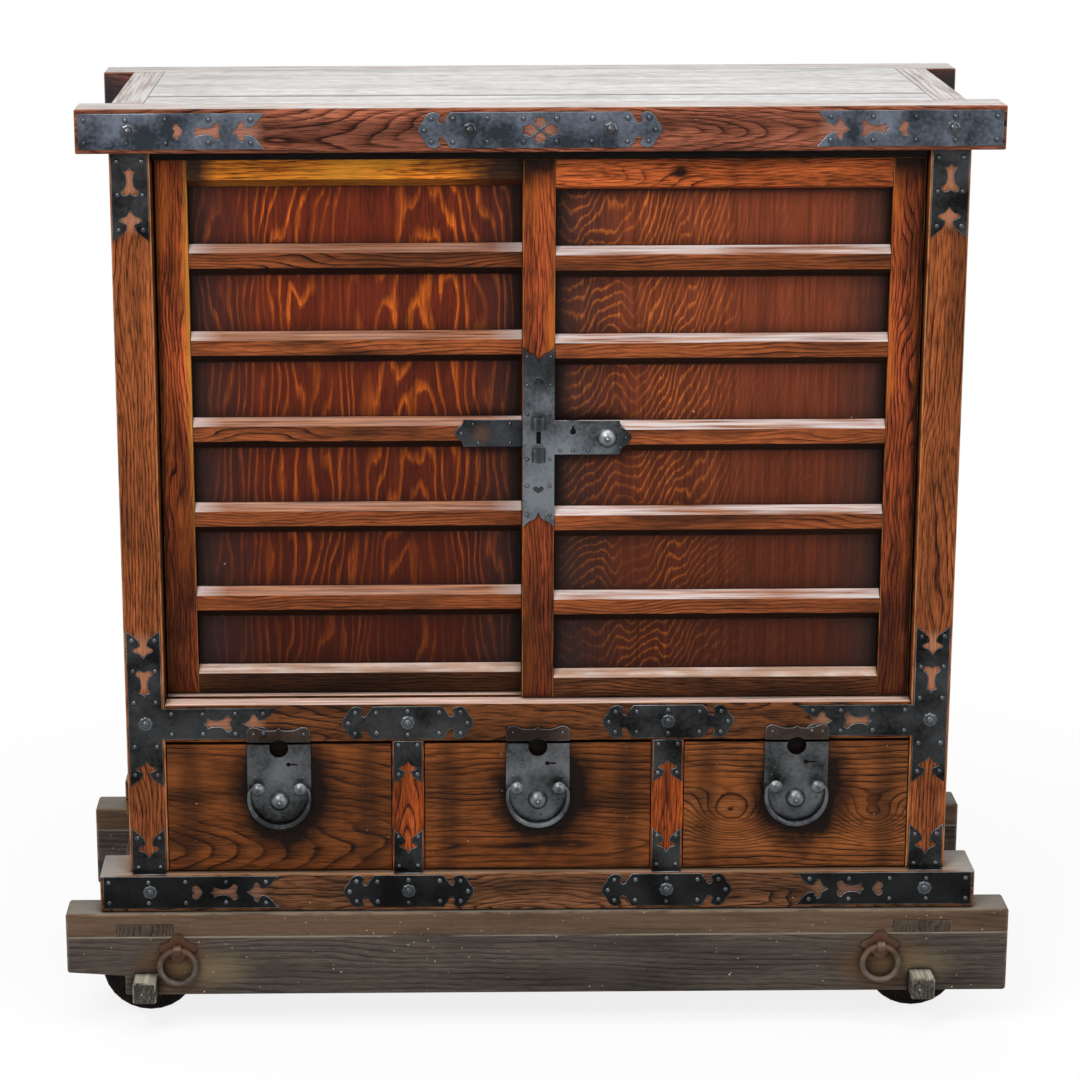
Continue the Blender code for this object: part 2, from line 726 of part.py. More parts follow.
def side_panel(side, sign):
    """The side boards with their outer rails, and inside them a drawer guide and a ledge for the floor."""
    near = FRONT + POST_DEPTH + TOUCH
    low, high = span(sign, SIDE_IN, SIDE_IN + BOARD)
    panel = box(
        f"side_panel_{side}", (low, near, BASE_HIGH + TOUCH), (high, -near, POST_HIGH), BOARD_WOOD
    )
    outside, inside = SIDE_IN + BOARD - EMBED, SIDE_IN + EMBED
    floor_low = FLOOR_HIGH - BOARD - TOUCH
    run = near + TOUCH
    pieces = (
        ("foot", inside, POST_OUT, BASE_INNER + TOUCH, BASE_LOW, BASE_HIGH + SIDE_FOOT),
        ("rail", outside, POST_OUT - TOUCH, run, SILL - MIDDLE_HEIGHT, SILL),
        ("ledge", POST_IN, inside, run, floor_low - LEDGE_HEIGHT, floor_low),
        ("guide", POST_IN, inside, run, DECK_HIGH + TOUCH, DECK_HIGH + GUIDE_HEIGHT),
    )
    for name, first, last, y, bottom, top_z in pieces:
        low, high = span(sign, first, last)
        join(panel, box(f"side_{side}_{name}", (low, y, bottom), (high, -y, top_z)))


def back_panel():
    half = POST_IN - TOUCH
    panel = box(
        "back_panel", (-half, BACK_IN, BASE_HIGH + TOUCH), (half, BACK_IN + BOARD, POST_HIGH), BOARD_WOOD
    )
    middle = (SILL + POST_HIGH) / 2
    inset = half - TOUCH
    near = BACK_IN + BOARD - EMBED
    for name, bottom in (("lower", SILL - MIDDLE_HEIGHT), ("upper", middle)):
        rail = box(
            f"back_{name}_rail", (-inset, near, bottom), (inset, BACK - TOUCH, bottom + MIDDLE_HEIGHT)
        )
        join(panel, rail)


def case():
    base_rails()
    posts()
    top()
    door_tracks()
    cabinet_floor()
    for side, sign in sides():
        partition(side, sign)
        side_panel(side, sign)
    back_panel()


# Doors

TOP_FACE_LOW = DOOR_HIGH - DOOR_TOP_FACE
BOTTOM_FACE_HIGH = DOOR_LOW + DOOR_BOTTOM_FACE
LOW_TIP = SILL - SILL_GROOVE + TOUCH
HIGH_TIP = HEAD_LOW + HEAD_GROOVE - DOOR_PLAY


def batten_levels():
    """Heights of the middles of the battens, from the top."""
    free = TOP_FACE_LOW - BOTTOM_FACE_HIGH - BATTENS * BATTEN_FACE + LOWEST_PANEL_LESS
    pitch = free / (BATTENS + 1) + BATTEN_FACE
    first = TOP_FACE_LOW - pitch + BATTEN_FACE / 2
    return [first - count * pitch for count in range(BATTENS)]


def tongue(face, shoulder, tip):
    near = face + (DOOR_THICKNESS - TONGUE) / 2
    far = near + TONGUE
    return [(near, shoulder), (near, tip), (far, tip), (far, shoulder)]


def stile_section(face):
    back = face + DOOR_THICKNESS
    section = [(face, DOOR_LOW), *tongue(face, DOOR_LOW, LOW_TIP), (back, DOOR_LOW)]
    section += [(back, DOOR_HIGH), *reversed(tongue(face, DOOR_HIGH, HIGH_TIP)), (face, DOOR_HIGH)]
    return section


def rail_section(face, shoulder, tip, edge, splay):
    """A rail with a tongue at its shoulder, and at its other edge a groove for the panel and a splay."""
    inward = 1 if shoulder < edge else -1
    near = face + SPLAY + SPLAY_LIP - TOUCH
    far = near + DOOR_PANEL + 2 * TOUCH
    back = face + DOOR_THICKNESS
    bed = edge - inward * DOOR_PANEL_LAP
    section = [(face, shoulder), *tongue(face, shoulder, tip), (back, shoulder), (back, edge)]
    section += [(far, edge), (far, bed), (near, bed), (near, edge)]
    section += [(face + splay, edge), (face, edge - inward * splay)]
    return section


def panel_section(face):
    """The thin panel with its battens, whose faces are level with the stiles."""
    front = face + SPLAY + SPLAY_LIP
    high = TOP_FACE_LOW - SPLAY + DOOR_PANEL_LAP - TOUCH
    low = BOTTOM_FACE_HIGH + SPLAY - DOOR_PANEL_LAP + TOUCH
    section = [(front + DOOR_PANEL, low), (front + DOOR_PANEL, high), (front, high)]
    for level in batten_levels():
        root, edge = BATTEN_FACE / 2 + SPLAY, BATTEN_FACE / 2
        section += [(front, level + root), (face + SPLAY, level + root), (face, level + edge)]
        section += [(face, level - edge), (face + SPLAY, level - root), (front, level - root)]
    section.append((front, low))
    return section


def door(side, sign, face, top_splay):
    body = holder(f"{side}_door_slide", (sign * DOOR_EDGE / 2, face, DOOR_LOW), CHEST)
    outer = span(sign, DOOR_EDGE - STILE_WIDTH, DOOR_EDGE)
    middle = (-STILE_WIDTH / 2, STILE_WIDTH / 2)
    for name, (low, high) in zip(("left", "right"), sorted((outer, middle))):
        bar_x(f"{side}_door_stile_{name}", stile_section(face), low, high, DOOR_WOOD, body)
    low, high = span(sign, STILE_WIDTH / 2 + TOUCH, DOOR_EDGE - STILE_WIDTH - TOUCH)
    section = rail_section(face, DOOR_HIGH, HIGH_TIP, TOP_FACE_LOW - SPLAY, top_splay)
    bar_x(f"{side}_door_top_rail", section, low, high, DOOR_WOOD, body)
    section = rail_section(face, DOOR_LOW, LOW_TIP, BOTTOM_FACE_HIGH + SPLAY, SPLAY)
    bar_x(f"{side}_door_bottom_rail", section, low, high, DOOR_WOOD, body)
    bar_x(f"{side}_door_panel", panel_section(face), low, high, PANEL_WOOD, body)
    return body


def fishtail(half, tip, notch):
    """A swallow-tailed end, from its left tip to its right one, with a cusp in each half."""
    hollow, cusp, throat = (
        (-across * half, tip - down * notch) for across, down in (TAIL_HOLLOW, TAIL_CUSP, TAIL_THROAT)
    )
    left = bend((-half, tip), hollow, cusp, HOLLOW_STEPS)
    left += bend(cusp, throat, (0.0, tip - notch), HOLLOW_STEPS)
    return left + [(0.0, tip - notch)] + [(-x, z) for x, z in reversed(left)]


def pointed_end(start_x, half, point):
    """A cusped pointed end towards +X, from its upper corner to its lower one."""
    hollow, cusp, throat = (
        (start_x + out * point, up * half) for up, out in (POINT_HOLLOW, POINT_CUSP, POINT_THROAT)
    )
    upper = bend((start_x, half), hollow, cusp, HOLLOW_STEPS)
    upper += bend(cusp, throat, (start_x + point, 0.0), HOLLOW_STEPS)
    return upper + [(start_x + point, 0.0)] + [(x, -z) for x, z in reversed(upper)]


def dome(name, radius, height, place):
    profile = [(0.0, height), *reversed(arc((0.0, 0.0), (radius, height), 0, 75, HOLLOW_STEPS))]
    profile += [(radius, -EMBED), (0.0, -EMBED)]
    return turned(name, profile, IRON_STEPS, place, TO_FRONT)


def add_boss(plate, name, place):
    """A round boss with a small knob on its crown, forged to a plate."""
    x, face, z = place
    join(plate, dome(f"{name}_boss", BOSS_RADIUS, BOSS_HEIGHT, place))
    crown = (x, face - BOSS_HEIGHT + EMBED, z)
    join(plate, dome(f"{name}_boss_tip", BOSS_TIP_RADIUS, BOSS_TIP_HEIGHT, crown))


def rod(name, radius, length, place, turn):
    profile = [(0.0, length / 2), (radius, length / 2), (radius, -length / 2), (0.0, -length / 2)]
    return turned(name, profile, IRON_STEPS, place, turn)


def door_lock(right_door, left_door):
    """The tall plate with its hasps and side arm on the right door, and the catch arm on the left one."""
    level = batten_levels()[LOCK_BATTEN]
    half, tip = STILE_WIDTH / 2, LOCK_HEIGHT / 2
    arm = pointed_end(half + LOCK_ARM_LENGTH - LOCK_ARM_POINT, LOCK_ARM_HEIGHT / 2, LOCK_ARM_POINT)
    ends = fishtail(half, tip, LOCK_NOTCH)
    outline = ends + [(half, LOCK_ARM_HEIGHT / 2), *arm, (half, -LOCK_ARM_HEIGHT / 2)]
    outline += [(x, -z) for x, z in reversed(ends)]
    face = RIGHT_DOOR - TOUCH - LOCK_PLATE
    place = (0.0, face + LOCK_PLATE / 2, level)
    plate = prism("right_door_lock_plate", outline, LOCK_PLATE, place, TO_FRONT, IRON, right_door)
    boss_x = half + LOCK_ARM_LENGTH - LOCK_BOSS_FROM_TIP
    add_boss(plate, "lock", (boss_x, face, level))
    for name, offset in (("upper", HASP_SPREAD), ("lower", -HASP_SPREAD)):
        profile = [(HASP_BORE, HASP_HEIGHT / 2), (HASP_RADIUS, HASP_HEIGHT / 2)]
        profile += [(HASP_RADIUS, -HASP_HEIGHT / 2), (HASP_BORE, -HASP_HEIGHT / 2)]
        place = (0.0, face - HASP_RADIUS + EMBED, level + offset)
        join(plate, turned(f"{name}_hasp", profile, IRON_STEPS, place, UPRIGHT))
    slot = box(
        "bolt_slot",
        (-BOLT_SLOT_WIDTH / 2, face - OVERCUT, level - BOLT_SLOT_HEIGHT / 2),
        (BOLT_SLOT_WIDTH / 2, RIGHT_DOOR, level + BOLT_SLOT_HEIGHT / 2),
    )
    cut(plate, slot)
    key_x = half + KEYHOLE_FROM_STILE
    key_z = level + KEYHOLE_ABOVE
    cut(plate, rod("lock_keyhole", KEYHOLE_RADIUS, 2 * OVERCUT, (key_x, face, key_z), TO_FRONT))
    wards = box(
        "lock_keyhole_slot",
        (key_x - KEYHOLE_SLOT / 2, face - OVERCUT, key_z),
        (key_x + KEYHOLE_SLOT / 2, face + OVERCUT, key_z + 2 * KEYHOLE_RADIUS),
    )
    cut(plate, wards)
    start_x = half + CATCH_LENGTH - CATCH_POINT
    arm = [(-x, z) for x, z in pointed_end(start_x, CATCH_HEIGHT / 2, CATCH_POINT)]
    inner = CATCH_HIDDEN - half
    outline = [(inner, CATCH_HEIGHT / 2), *arm, (inner, -CATCH_HEIGHT / 2)]
    place = (0.0, LEFT_DOOR - TOUCH - CATCH_PLATE / 2, level)
    prism("left_door_lock_arm", outline, CATCH_PLATE, place, TO_FRONT, IRON, left_door)


def doors():
    left_door = door("left", -1, LEFT_DOOR, SPLAY)
    right_door = door("right", 1, RIGHT_DOOR, SPLAY_RIGHT_TOP)
    door_lock(right_door, left_door)


# Drawers

def lock_plate(name, x, body, finger):
    """A plate with a rounded foot, a keyhole, a boss and two headed posts drilled for the bail."""
    half = PLATE_WIDTH / 2
    shoulder = DRAWER_TOP - PLATE_STRAIGHT
    outline = [(-half, DRAWER_TOP), (half, DRAWER_TOP)]
    outline += arc((0.0, shoulder), (half, PLATE_HEIGHT - PLATE_STRAIGHT), 0, -180, FOOT_STEPS)
    face = DRAWER_FACE - TOUCH - PLATE
    plate = prism(f"{name}_lock_plate", outline, PLATE, (x, face + PLATE / 2, 0.0), TO_FRONT, IRON, body)
    cut(plate, finger)
    add_boss(plate, name, (x, face, DRAWER_TOP - BOSS_DROP))
    pivot = Vector((x, face - BAIL_AHEAD, DRAWER_TOP - BAIL_DROP))
    head = POST_REACH - POST_HEAD_HEIGHT
    profile = [(0.0, POST_REACH)]
    profile += [(across * POST_HEAD, head + up * POST_HEAD_HEIGHT) for across, up in HEAD_CURVE]
    profile += [(POST_NECK, head), (POST_NECK, -EMBED), (0.0, -EMBED)]
    for side, sign in sides():
        place = (x + sign * BAIL_SPACING / 2, face, pivot.z)
        join(plate, turned(f"{name}_{side}_bail_post", profile, IRON_STEPS, place, TO_FRONT))
    length = BAIL_SPACING + 4 * POST_HEAD
    cut(plate, rod(f"{name}_bail_hole", BAIL_END + TOUCH, length, pivot, ALONG_X))
    key_x, key_z = x + DRAWER_KEY_ASIDE, DRAWER_TOP - DRAWER_KEY_DROP
    cut(plate, rod(f"{name}_keyhole", DRAWER_KEY_RADIUS, 2 * OVERCUT, (key_x, face, key_z), TO_FRONT))
    wards = box(
        f"{name}_keyhole_slot",
        (key_x, face - OVERCUT, key_z - DRAWER_KEY_SLOT / 2),
        (key_x + DRAWER_KEY_REACH, face + OVERCUT, key_z + DRAWER_KEY_SLOT / 2),
    )
    cut(plate, wards)
    return pivot


def bail(name, pivot, body):
    """A bowed handle whose thin ends turn in through the two posts."""
    hinge = holder(f"{name}_bail_hinge", pivot, body)
    inner = BAIL_SPACING / 2 - BAIL_TIP
    shoulder = BAIL_SPACING / 2 + POST_NECK + BAIL_SHOULDER
    bow = arc((0.0, -BAIL_BOW_DROP), BAIL_BOW, 5, -185, BOW_STEPS)
    turn = bend((shoulder, 0.0), (BAIL_BOW, 0.0), bow[0], HOLLOW_STEPS)
    left = [(-x, z) for x, z in reversed(turn)]
    route = [(inner, 0.0), *turn, *bow, *left, (-inner, 0.0)]
    curve = bpy.data.curves.new(f"{name}_bail", "CURVE")
    curve.dimensions = "3D"
    curve.bevel_depth = BAIL_WIRE
    curve.bevel_resolution = 2
    curve.use_fill_caps = True
    spline = curve.splines.new("POLY")
    spline.points.add(len(route) - 1)
    for point, (across, up) in zip(spline.points, route):
        point.co = (across, 0.0, up, 1.0)
        depth = min(1.0, max(0.0, -up / BAIL_BOW))
        point.radius = (BAIL_END + (BAIL_WIRE - BAIL_END) * depth) / BAIL_WIRE
    curve.materials.append(IRON)
    obj = bpy.data.objects.new(f"{name}_bail", curve)
    obj.parent = hinge
    PARTS.objects.link(obj)


def drawer(name, low, high):
    low, high = low + SLIDE, high - SLIDE
    x = (low + high) / 2
    body = holder(f"{name}_slide", (x, DRAWER_FACE, DRAWER_LOW), CHEST)
    inner = DRAWER_FACE + DRAWER_FRONT
    front = box(
        f"{name}_front", (low, DRAWER_FACE, DRAWER_LOW), (high, inner, DRAWER_TOP), DOOR_WOOD, body
    )
    depth = FINGER_DEPTH + OVERCUT
    place = (x, DRAWER_FACE + FINGER_DEPTH - depth / 2, DRAWER_TOP - FINGER_DROP)
    finger = rod(f"{name}_finger_hole", FINGER_RADIUS, depth, place, TO_FRONT)
    cut(front, finger)
    near, far = inner + TOUCH, BACK_IN - DRAWER_BACK_GAP
    top_z = DRAWER_TOP - DRAWER_BOX_DROP
    tray = box(f"{name}_box", (low, near, DRAWER_LOW), (high, far, top_z), BOARD_WOOD, body)
    hollow = box(
        f"{name}_hollow",
        (low + DRAWER_SIDE, near - OVERCUT, DRAWER_LOW + DRAWER_BOTTOM),
        (high - DRAWER_SIDE, far - DRAWER_SIDE, top_z + OVERCUT),
    )
    cut(tray, hollow)
    bail(name, lock_plate(name, x, body, finger), body)


def drawers():
    half = DIVIDER_WIDTH / 2
    drawer("drawer_left", -POST_IN, -DIVIDER_OFFSET - half)
    drawer("drawer_middle", half - DIVIDER_OFFSET, DIVIDER_OFFSET - half)
    drawer("drawer_right", DIVIDER_OFFSET + half, POST_IN)


undercarriage()
case()
doors()
drawers()
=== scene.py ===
"""Looks of a wheeled tansu chest: lacquered timber, forged iron, and the thin iron trim nailed to its frame.

Metres, +Z up, in the frame of the CAD model. The front faces -Y."""

import math
import random

import bmesh
import bpy
from mathutils import Matrix, Vector


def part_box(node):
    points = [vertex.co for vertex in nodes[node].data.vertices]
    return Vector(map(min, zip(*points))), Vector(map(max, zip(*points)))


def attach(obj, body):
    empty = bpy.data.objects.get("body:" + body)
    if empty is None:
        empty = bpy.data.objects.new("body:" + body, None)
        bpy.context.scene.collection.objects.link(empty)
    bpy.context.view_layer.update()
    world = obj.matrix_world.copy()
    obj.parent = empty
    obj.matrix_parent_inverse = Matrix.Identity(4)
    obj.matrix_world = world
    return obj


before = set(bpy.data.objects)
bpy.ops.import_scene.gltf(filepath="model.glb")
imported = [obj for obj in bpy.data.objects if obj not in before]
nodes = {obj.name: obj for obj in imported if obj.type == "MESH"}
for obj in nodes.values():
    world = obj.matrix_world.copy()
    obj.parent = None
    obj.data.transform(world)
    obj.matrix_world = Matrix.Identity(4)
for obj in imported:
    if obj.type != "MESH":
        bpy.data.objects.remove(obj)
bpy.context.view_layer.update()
scene = bpy.context.scene

MM = 0.001

# Settings of a mix of two colours, whose result is the node's third output
COLOURS = {"out": 2, "data_type": "RGBA"}

# Faces, lines and ends of the CAD parts, which stains and iron plates go by
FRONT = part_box("middle_rail")[0][1]
TOP_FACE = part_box("top_front_rail")[0][1]
BASE_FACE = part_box("base_front_rail")[0][1]
TOP_MIDDLE = (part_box("top_front_rail")[0][2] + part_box("top_front_rail")[1][2]) / 2
MIDDLE_LOW, MIDDLE_HIGH = (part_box("middle_rail")[i][2] for i in (0, 1))
MIDDLE_LINE = (MIDDLE_LOW + MIDDLE_HIGH) / 2
BASE_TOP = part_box("base_front_rail")[1][2]
BASE_LINE = (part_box("base_front_rail")[0][2] + BASE_TOP) / 2 + 2 * MM
POST_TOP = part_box("front_post_left")[1][2]
POST_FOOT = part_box("front_post_left")[0][2]
POST_X = (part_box("front_post_right")[0][0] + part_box("front_post_right")[1][0]) / 2
DIVIDER_X = (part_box("drawer_partition_right")[0][0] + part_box("drawer_partition_right")[1][0]) / 2
TOP_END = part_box("top_front_rail")[1][0]
BASE_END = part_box("base_front_rail")[1][0]
LOCK_LEVEL = (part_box("right_door_lock_plate")[0][2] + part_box("right_door_lock_plate")[1][2]) / 2
LEFT_DOOR_FACE = -0.166
RIGHT_DOOR_FACE = -0.194
DRAWER_FACE = -0.215
BEAM_FACE = -0.234
DRAWERS = {"left": -0.34175, "middle": 0.0, "right": 0.34175}
FINGER_HOLE = 0.3903
RINGS = (-0.48, 0.458)


def colour(code):
    """Linear RGBA of an sRGB hex colour."""
    channels = [int(code[i : i + 2], 16) / 255 for i in (1, 3, 5)]
    linear = [c / 12.92 if c <= 0.04045 else ((c + 0.055) / 1.055) ** 2.4 for c in channels]
    return (*linear, 1.0)


def feed(tree, node, inputs):
    """Gives a node its inputs: each value is a socket to join, or the number or colour to set."""
    for socket, value in inputs.items():
        if isinstance(value, bpy.types.NodeSocket):
            tree.links.new(value, node.inputs[socket])
        else:
            node.inputs[socket].default_value = value


def add(tree, kind, inputs=None, out=0, stops=None, **settings):
    """Adds a node and gives its output socket, or the node itself where out is None."""
    made = tree.nodes.new(kind)
    for setting, value in settings.items():
        setattr(made, setting, value)
    feed(tree, made, inputs or {})
    if stops:
        points = made.color_ramp.elements
        while len(points) < len(stops):
            points.new(0.5)
        for point, (place, shade) in zip(points, stops):
            point.position = place
            point.color = shade if isinstance(shade, tuple) else (shade, shade, shade, 1.0)
    return made if out is None else made.outputs[out]


def new_material(name):
    material = bpy.data.materials.new(name)
    material.use_nodes = True
    tree = material.node_tree
    return material, tree, tree.nodes["Principled BSDF"]


def axes(tree, kind="Object"):
    """The X, Y and Z of a spot on the object, or of its normal."""
    spot = add(tree, "ShaderNodeTexCoord", out=kind)
    return add(tree, "ShaderNodeSeparateXYZ", {0: spot}, None).outputs


def stretched_noise(tree, place, along_mm, across_mm, detail):
    """Noise whose features are so long along the grain and so wide across it."""
    scale = (1 / (along_mm * MM), 1 / (across_mm * MM), 1 / (across_mm * MM))
    place = add(tree, "ShaderNodeVectorMath", {0: place, 1: scale}, operation="MULTIPLY")
    return add(tree, "ShaderNodeTexNoise", {"Vector": place, "Scale": 1.0, "Detail": detail})


def share_of_reach(tree, spot, centre, reach):
    """How far a spot is from a centre, as a share of the reach along each axis."""
    away = add(tree, "ShaderNodeVectorMath", {0: spot, 1: centre}, operation="SUBTRACT")
    away = add(tree, "ShaderNodeVectorMath", {0: away, 1: reach}, operation="DIVIDE")
    return add(tree, "ShaderNodeVectorMath", {0: away}, "Value", operation="LENGTH")


# The grain runs along the first axis, the second lies across it, and the third goes into the board
GRAIN_AXES = {
    "X": ("X", "Z", "Y"),
    "Z": ("Z", "X", "Y"),
    "Y": ("Y", "X", "Z"),
    "side": ("Z", "Y", "X"),
    "flat": ("X", "Y", "Z"),
    "side_rail": ("Y", "Z", "X"),
}


def grain(
    tree, axis, stops, ring_mm, heart=(0.0, 0.0), depth_mm=90, tilt=0.1, sway_mm=14, ragged_rings=0.4,
    faded=0.7, pore=0.75, bands=(0.5, 1.3), board_mm=0, mirrored=False, knots=(),
):
    """Growth rings as a board's face cuts them, with fibres. Gives a colour, a height and a place.

    The rings lie round a heart line behind the face. Its nearest point is at heart, in metres along and
    across the grain, and the line tilts away from there, which makes the arched figure of a flat-sawn
    board. Knots are places on the face, each with its reach, that the rings close round."""
    parts = axes(tree)
    along, across, deep = (parts[letter] for letter in GRAIN_AXES[axis])
    chance = add(tree, "ShaderNodeObjectInfo", out="Random")
    if mirrored:
        across = add(tree, "ShaderNodeMath", {0: across}, operation="ABSOLUTE")
    if board_mm:
        board = add(tree, "ShaderNodeMath", {0: across, 1: board_mm * MM}, operation="SNAP")
        chance = add(tree, "ShaderNodeTexWhiteNoise", {"W": board}, noise_dimensions="1D")
        within = add(tree, "ShaderNodeMath", {0: across, 1: board_mm * MM, 2: 0.0}, operation="WRAP")
        across = add(tree, "ShaderNodeMath", {0: within, 1: board_mm * MM / 2}, operation="SUBTRACT")
    shifted = add(tree, "ShaderNodeMath", {0: chance, 1: 9.0, 2: along}, operation="MULTIPLY_ADD")
    place = add(tree, "ShaderNodeCombineXYZ", {0: shifted, 1: across, 2: deep})

    wander = stretched_noise(tree, place, 260, 75, 2.0)
    sway = add(tree, "ShaderNodeMapRange", {0: wander, 1: 0.3, 2: 0.7, 3: -sway_mm * MM, 4: sway_mm * MM})
    aside = add(tree, "ShaderNodeMath", {0: across, 1: heart[1]}, operation="SUBTRACT")
    ahead = add(tree, "ShaderNodeMath", {0: along, 1: heart[0]}, operation="SUBTRACT")
    behind = add(tree, "ShaderNodeMath", {0: ahead, 1: tilt, 2: depth_mm * MM}, operation="MULTIPLY_ADD")
    section = add(tree, "ShaderNodeCombineXYZ", {0: aside, 1: behind})
    radius = add(tree, "ShaderNodeVectorMath", {0: section}, "Value", operation="LENGTH")
    radius = add(tree, "ShaderNodeMath", {0: radius, 1: sway}, operation="ADD")
    face_spot = add(tree, "ShaderNodeCombineXYZ", {0: along, 1: across})
    for knot, reach in knots:
        away = share_of_reach(tree, face_spot, (*knot, 0.0), (1.35, 1.0, 1.0))
        swell = {0: away, 2: reach, 3: 0.8 * reach, 4: 0.0}
        swell = add(tree, "ShaderNodeMapRange", swell, interpolation_type="SMOOTHSTEP")
        radius = add(tree, "ShaderNodeMath", {0: radius, 1: swell}, operation="ADD")
    ragged = stretched_noise(tree, place, 42, 6, 3.0)
    ragged = add(tree, "ShaderNodeMath", {0: ragged, 1: ragged_rings}, operation="MULTIPLY")
    years = {0: radius, 1: 1 / (ring_mm * MM), 2: ragged}
    count = add(tree, "ShaderNodeMath", years, operation="MULTIPLY_ADD")
    year = add(tree, "ShaderNodeMath", {0: count}, operation="FRACT")
    rings = add(tree, "ShaderNodeValToRGB", {0: year}, stops=stops)
    faint = cloudy(tree, place, 150, 26, 0.42, 0.68, faded)
    rings = add(tree, "ShaderNodeMix", {0: faint, 6: rings, 7: stops[-1][1]}, **COLOURS)

    # Real pores are about 0.3 mm wide: drawn 1.8 mm wide, to show
    dashes = stretched_noise(tree, place, 24, 1.8, 4.0)
    pores = add(tree, "ShaderNodeValToRGB", {0: dashes}, stops=[(0.38, 0.06), (0.48, 0.70), (0.60, 1.0)])
    tone = stretched_noise(tree, place, 420, 22, 3.0)
    tone = add(tree, "ShaderNodeMapRange", {0: tone, 1: 0.3, 2: 0.7, 3: bands[0], 4: bands[1]})
    base = add(tree, "ShaderNodeMix", {0: pore, 6: rings, 7: pores}, **COLOURS, blend_type="MULTIPLY")
    base = add(tree, "ShaderNodeMix", {0: 1.0, 6: base, 7: tone}, **COLOURS, blend_type="MULTIPLY")
    height = add(tree, "ShaderNodeMath", {0: pores, 1: rings}, operation="ADD")
    if board_mm:
        shade = add(tree, "ShaderNodeMapRange", {0: chance, 3: 0.72, 4: 1.1})
        base = add(tree, "ShaderNodeMix", {0: 1.0, 6: base, 7: shade}, **COLOURS, blend_type="MULTIPLY")
    return base, height, place


def cloudy(tree, place, along_mm, across_mm, low, high, amount):
    """A soft patchy mask: nothing where a noise is under low, and amount where it is over high."""
    cloud = stretched_noise(tree, place, along_mm, across_mm, 4.0)
    return add(tree, "ShaderNodeMapRange", {0: cloud, 1: low, 2: high, 4: amount})


def patchy(tree, base, tone, place, *cloud):
    """Tints a colour in soft patches."""
    mask = cloudy(tree, place, *cloud)
    return add(tree, "ShaderNodeMix", {0: mask, 6: base, 7: colour(tone)}, **COLOURS)


def ranged(tree, base, tone, value, low, high, amount):
    """Tints a colour, from nothing where a value is low to the amount where it is high."""
    mask = add(tree, "ShaderNodeMapRange", {0: value, 1: low, 2: high, 4: amount})
    return add(tree, "ShaderNodeMix", {0: mask, 6: base, 7: colour(tone)}, **COLOURS)


def rubbed_edges(tree, base, tone, place, amount):
    """Tints in patches what is turned away from all three axes, which is a rounded or chamfered edge."""
    facing = add(tree, "ShaderNodeTexCoord", out="Normal")
    facing = add(tree, "ShaderNodeVectorMath", {0: facing}, operation="ABSOLUTE")
    parts = add(tree, "ShaderNodeSeparateXYZ", {0: facing}, None).outputs
    most = add(tree, "ShaderNodeMath", {0: parts[0], 1: parts[1]}, operation="MAXIMUM")
    most = add(tree, "ShaderNodeMath", {0: most, 1: parts[2]}, operation="MAXIMUM")
    edge = add(tree, "ShaderNodeMapRange", {0: most, 1: 0.985, 2: 0.88, 4: amount})
    patches = cloudy(tree, place, 35, 12, 0.33, 0.58, 1.0)
    edge = add(tree, "ShaderNodeMath", {0: edge, 1: patches}, operation="MULTIPLY")
    handled = facing_up(tree, -0.7, 0.0, 1.0)
    mask = add(tree, "ShaderNodeMath", {0: edge, 1: handled}, operation="MULTIPLY")
    return add(tree, "ShaderNodeMix", {0: mask, 6: base, 7: colour(tone)}, **COLOURS)


def facing_up(tree, low, high, amount):
    """A mask on what faces up, from nothing at a normal's height of low to amount at high."""
    upright = axes(tree, "Normal")["Z"]
    return add(tree, "ShaderNodeMapRange", {0: upright, 1: low, 2: high, 4: amount})


def corner_grime_and_shade(tree, base, tone, reach_mm, bounds, amount):
    """Darkens a colour in corners and beside what is nailed on it, by how enclosed each spot is: dirt and old
    polish that stay there, and painted shade.
    """
    settings = {"Distance": reach_mm * MM}
    room = add(tree, "ShaderNodeAmbientOcclusion", settings, "AO", samples=6)
    return ranged(tree, base, tone, room, *bounds, amount)


def stain(tree, base, tone, places, core=0.6, edge=1.25):
    """Tints a colour round places, each given by its centre, its reach along X, Y and Z, and its strength.

    The tint is full up to the core's share of the reach, and fades out towards the edge's."""
    spot = add(tree, "ShaderNodeTexCoord", out="Object")
    uneven = add(tree, "ShaderNodeTexNoise", {"Vector": spot, "Scale": 1 / (25 * MM), "Detail": 4.0})
    for centre, reach, amount in places:
        away = share_of_reach(tree, spot, centre, reach)
        away = add(tree, "ShaderNodeMath", {0: uneven, 1: 0.5, 2: away}, operation="MULTIPLY_ADD")
        mask = add(tree, "ShaderNodeMapRange", {0: away, 1: core, 2: edge, 3: amount, 4: 0.0})
        base = add(tree, "ShaderNodeMix", {0: mask, 6: base, 7: colour(tone)}, **COLOURS)
    return base


def specks(tree, base, tone, spacing_mm, amount):
    """Scatters small pale chips and paint specks, one or two millimetres wide."""
    spot = add(tree, "ShaderNodeTexCoord", out="Object")
    bent = add(tree, "ShaderNodeTexNoise", {"Vector": spot, "Scale": 1 / (3 * MM)}, "Color")
    bent = add(tree, "ShaderNodeVectorMath", {0: bent, 1: (3 * MM,) * 3, 2: spot}, operation="MULTIPLY_ADD")
    cells = add(tree, "ShaderNodeTexVoronoi", {"Vector": bent, "Scale": 1 / (spacing_mm * MM)}, None).outputs
    size = add(tree, "ShaderNodeSeparateColor", {0: cells["Color"]})
    size = add(tree, "ShaderNodeMapRange", {0: size, 1: 0.35, 2: 1.0, 4: 1.2 / spacing_mm})
    near = add(tree, "ShaderNodeMath", {0: cells["Distance"], 1: size}, operation="LESS_THAN")
    mask = add(tree, "ShaderNodeMath", {0: near, 1: amount}, operation="MULTIPLY")
    return add(tree, "ShaderNodeMix", {0: mask, 6: base, 7: colour(tone)}, **COLOURS)


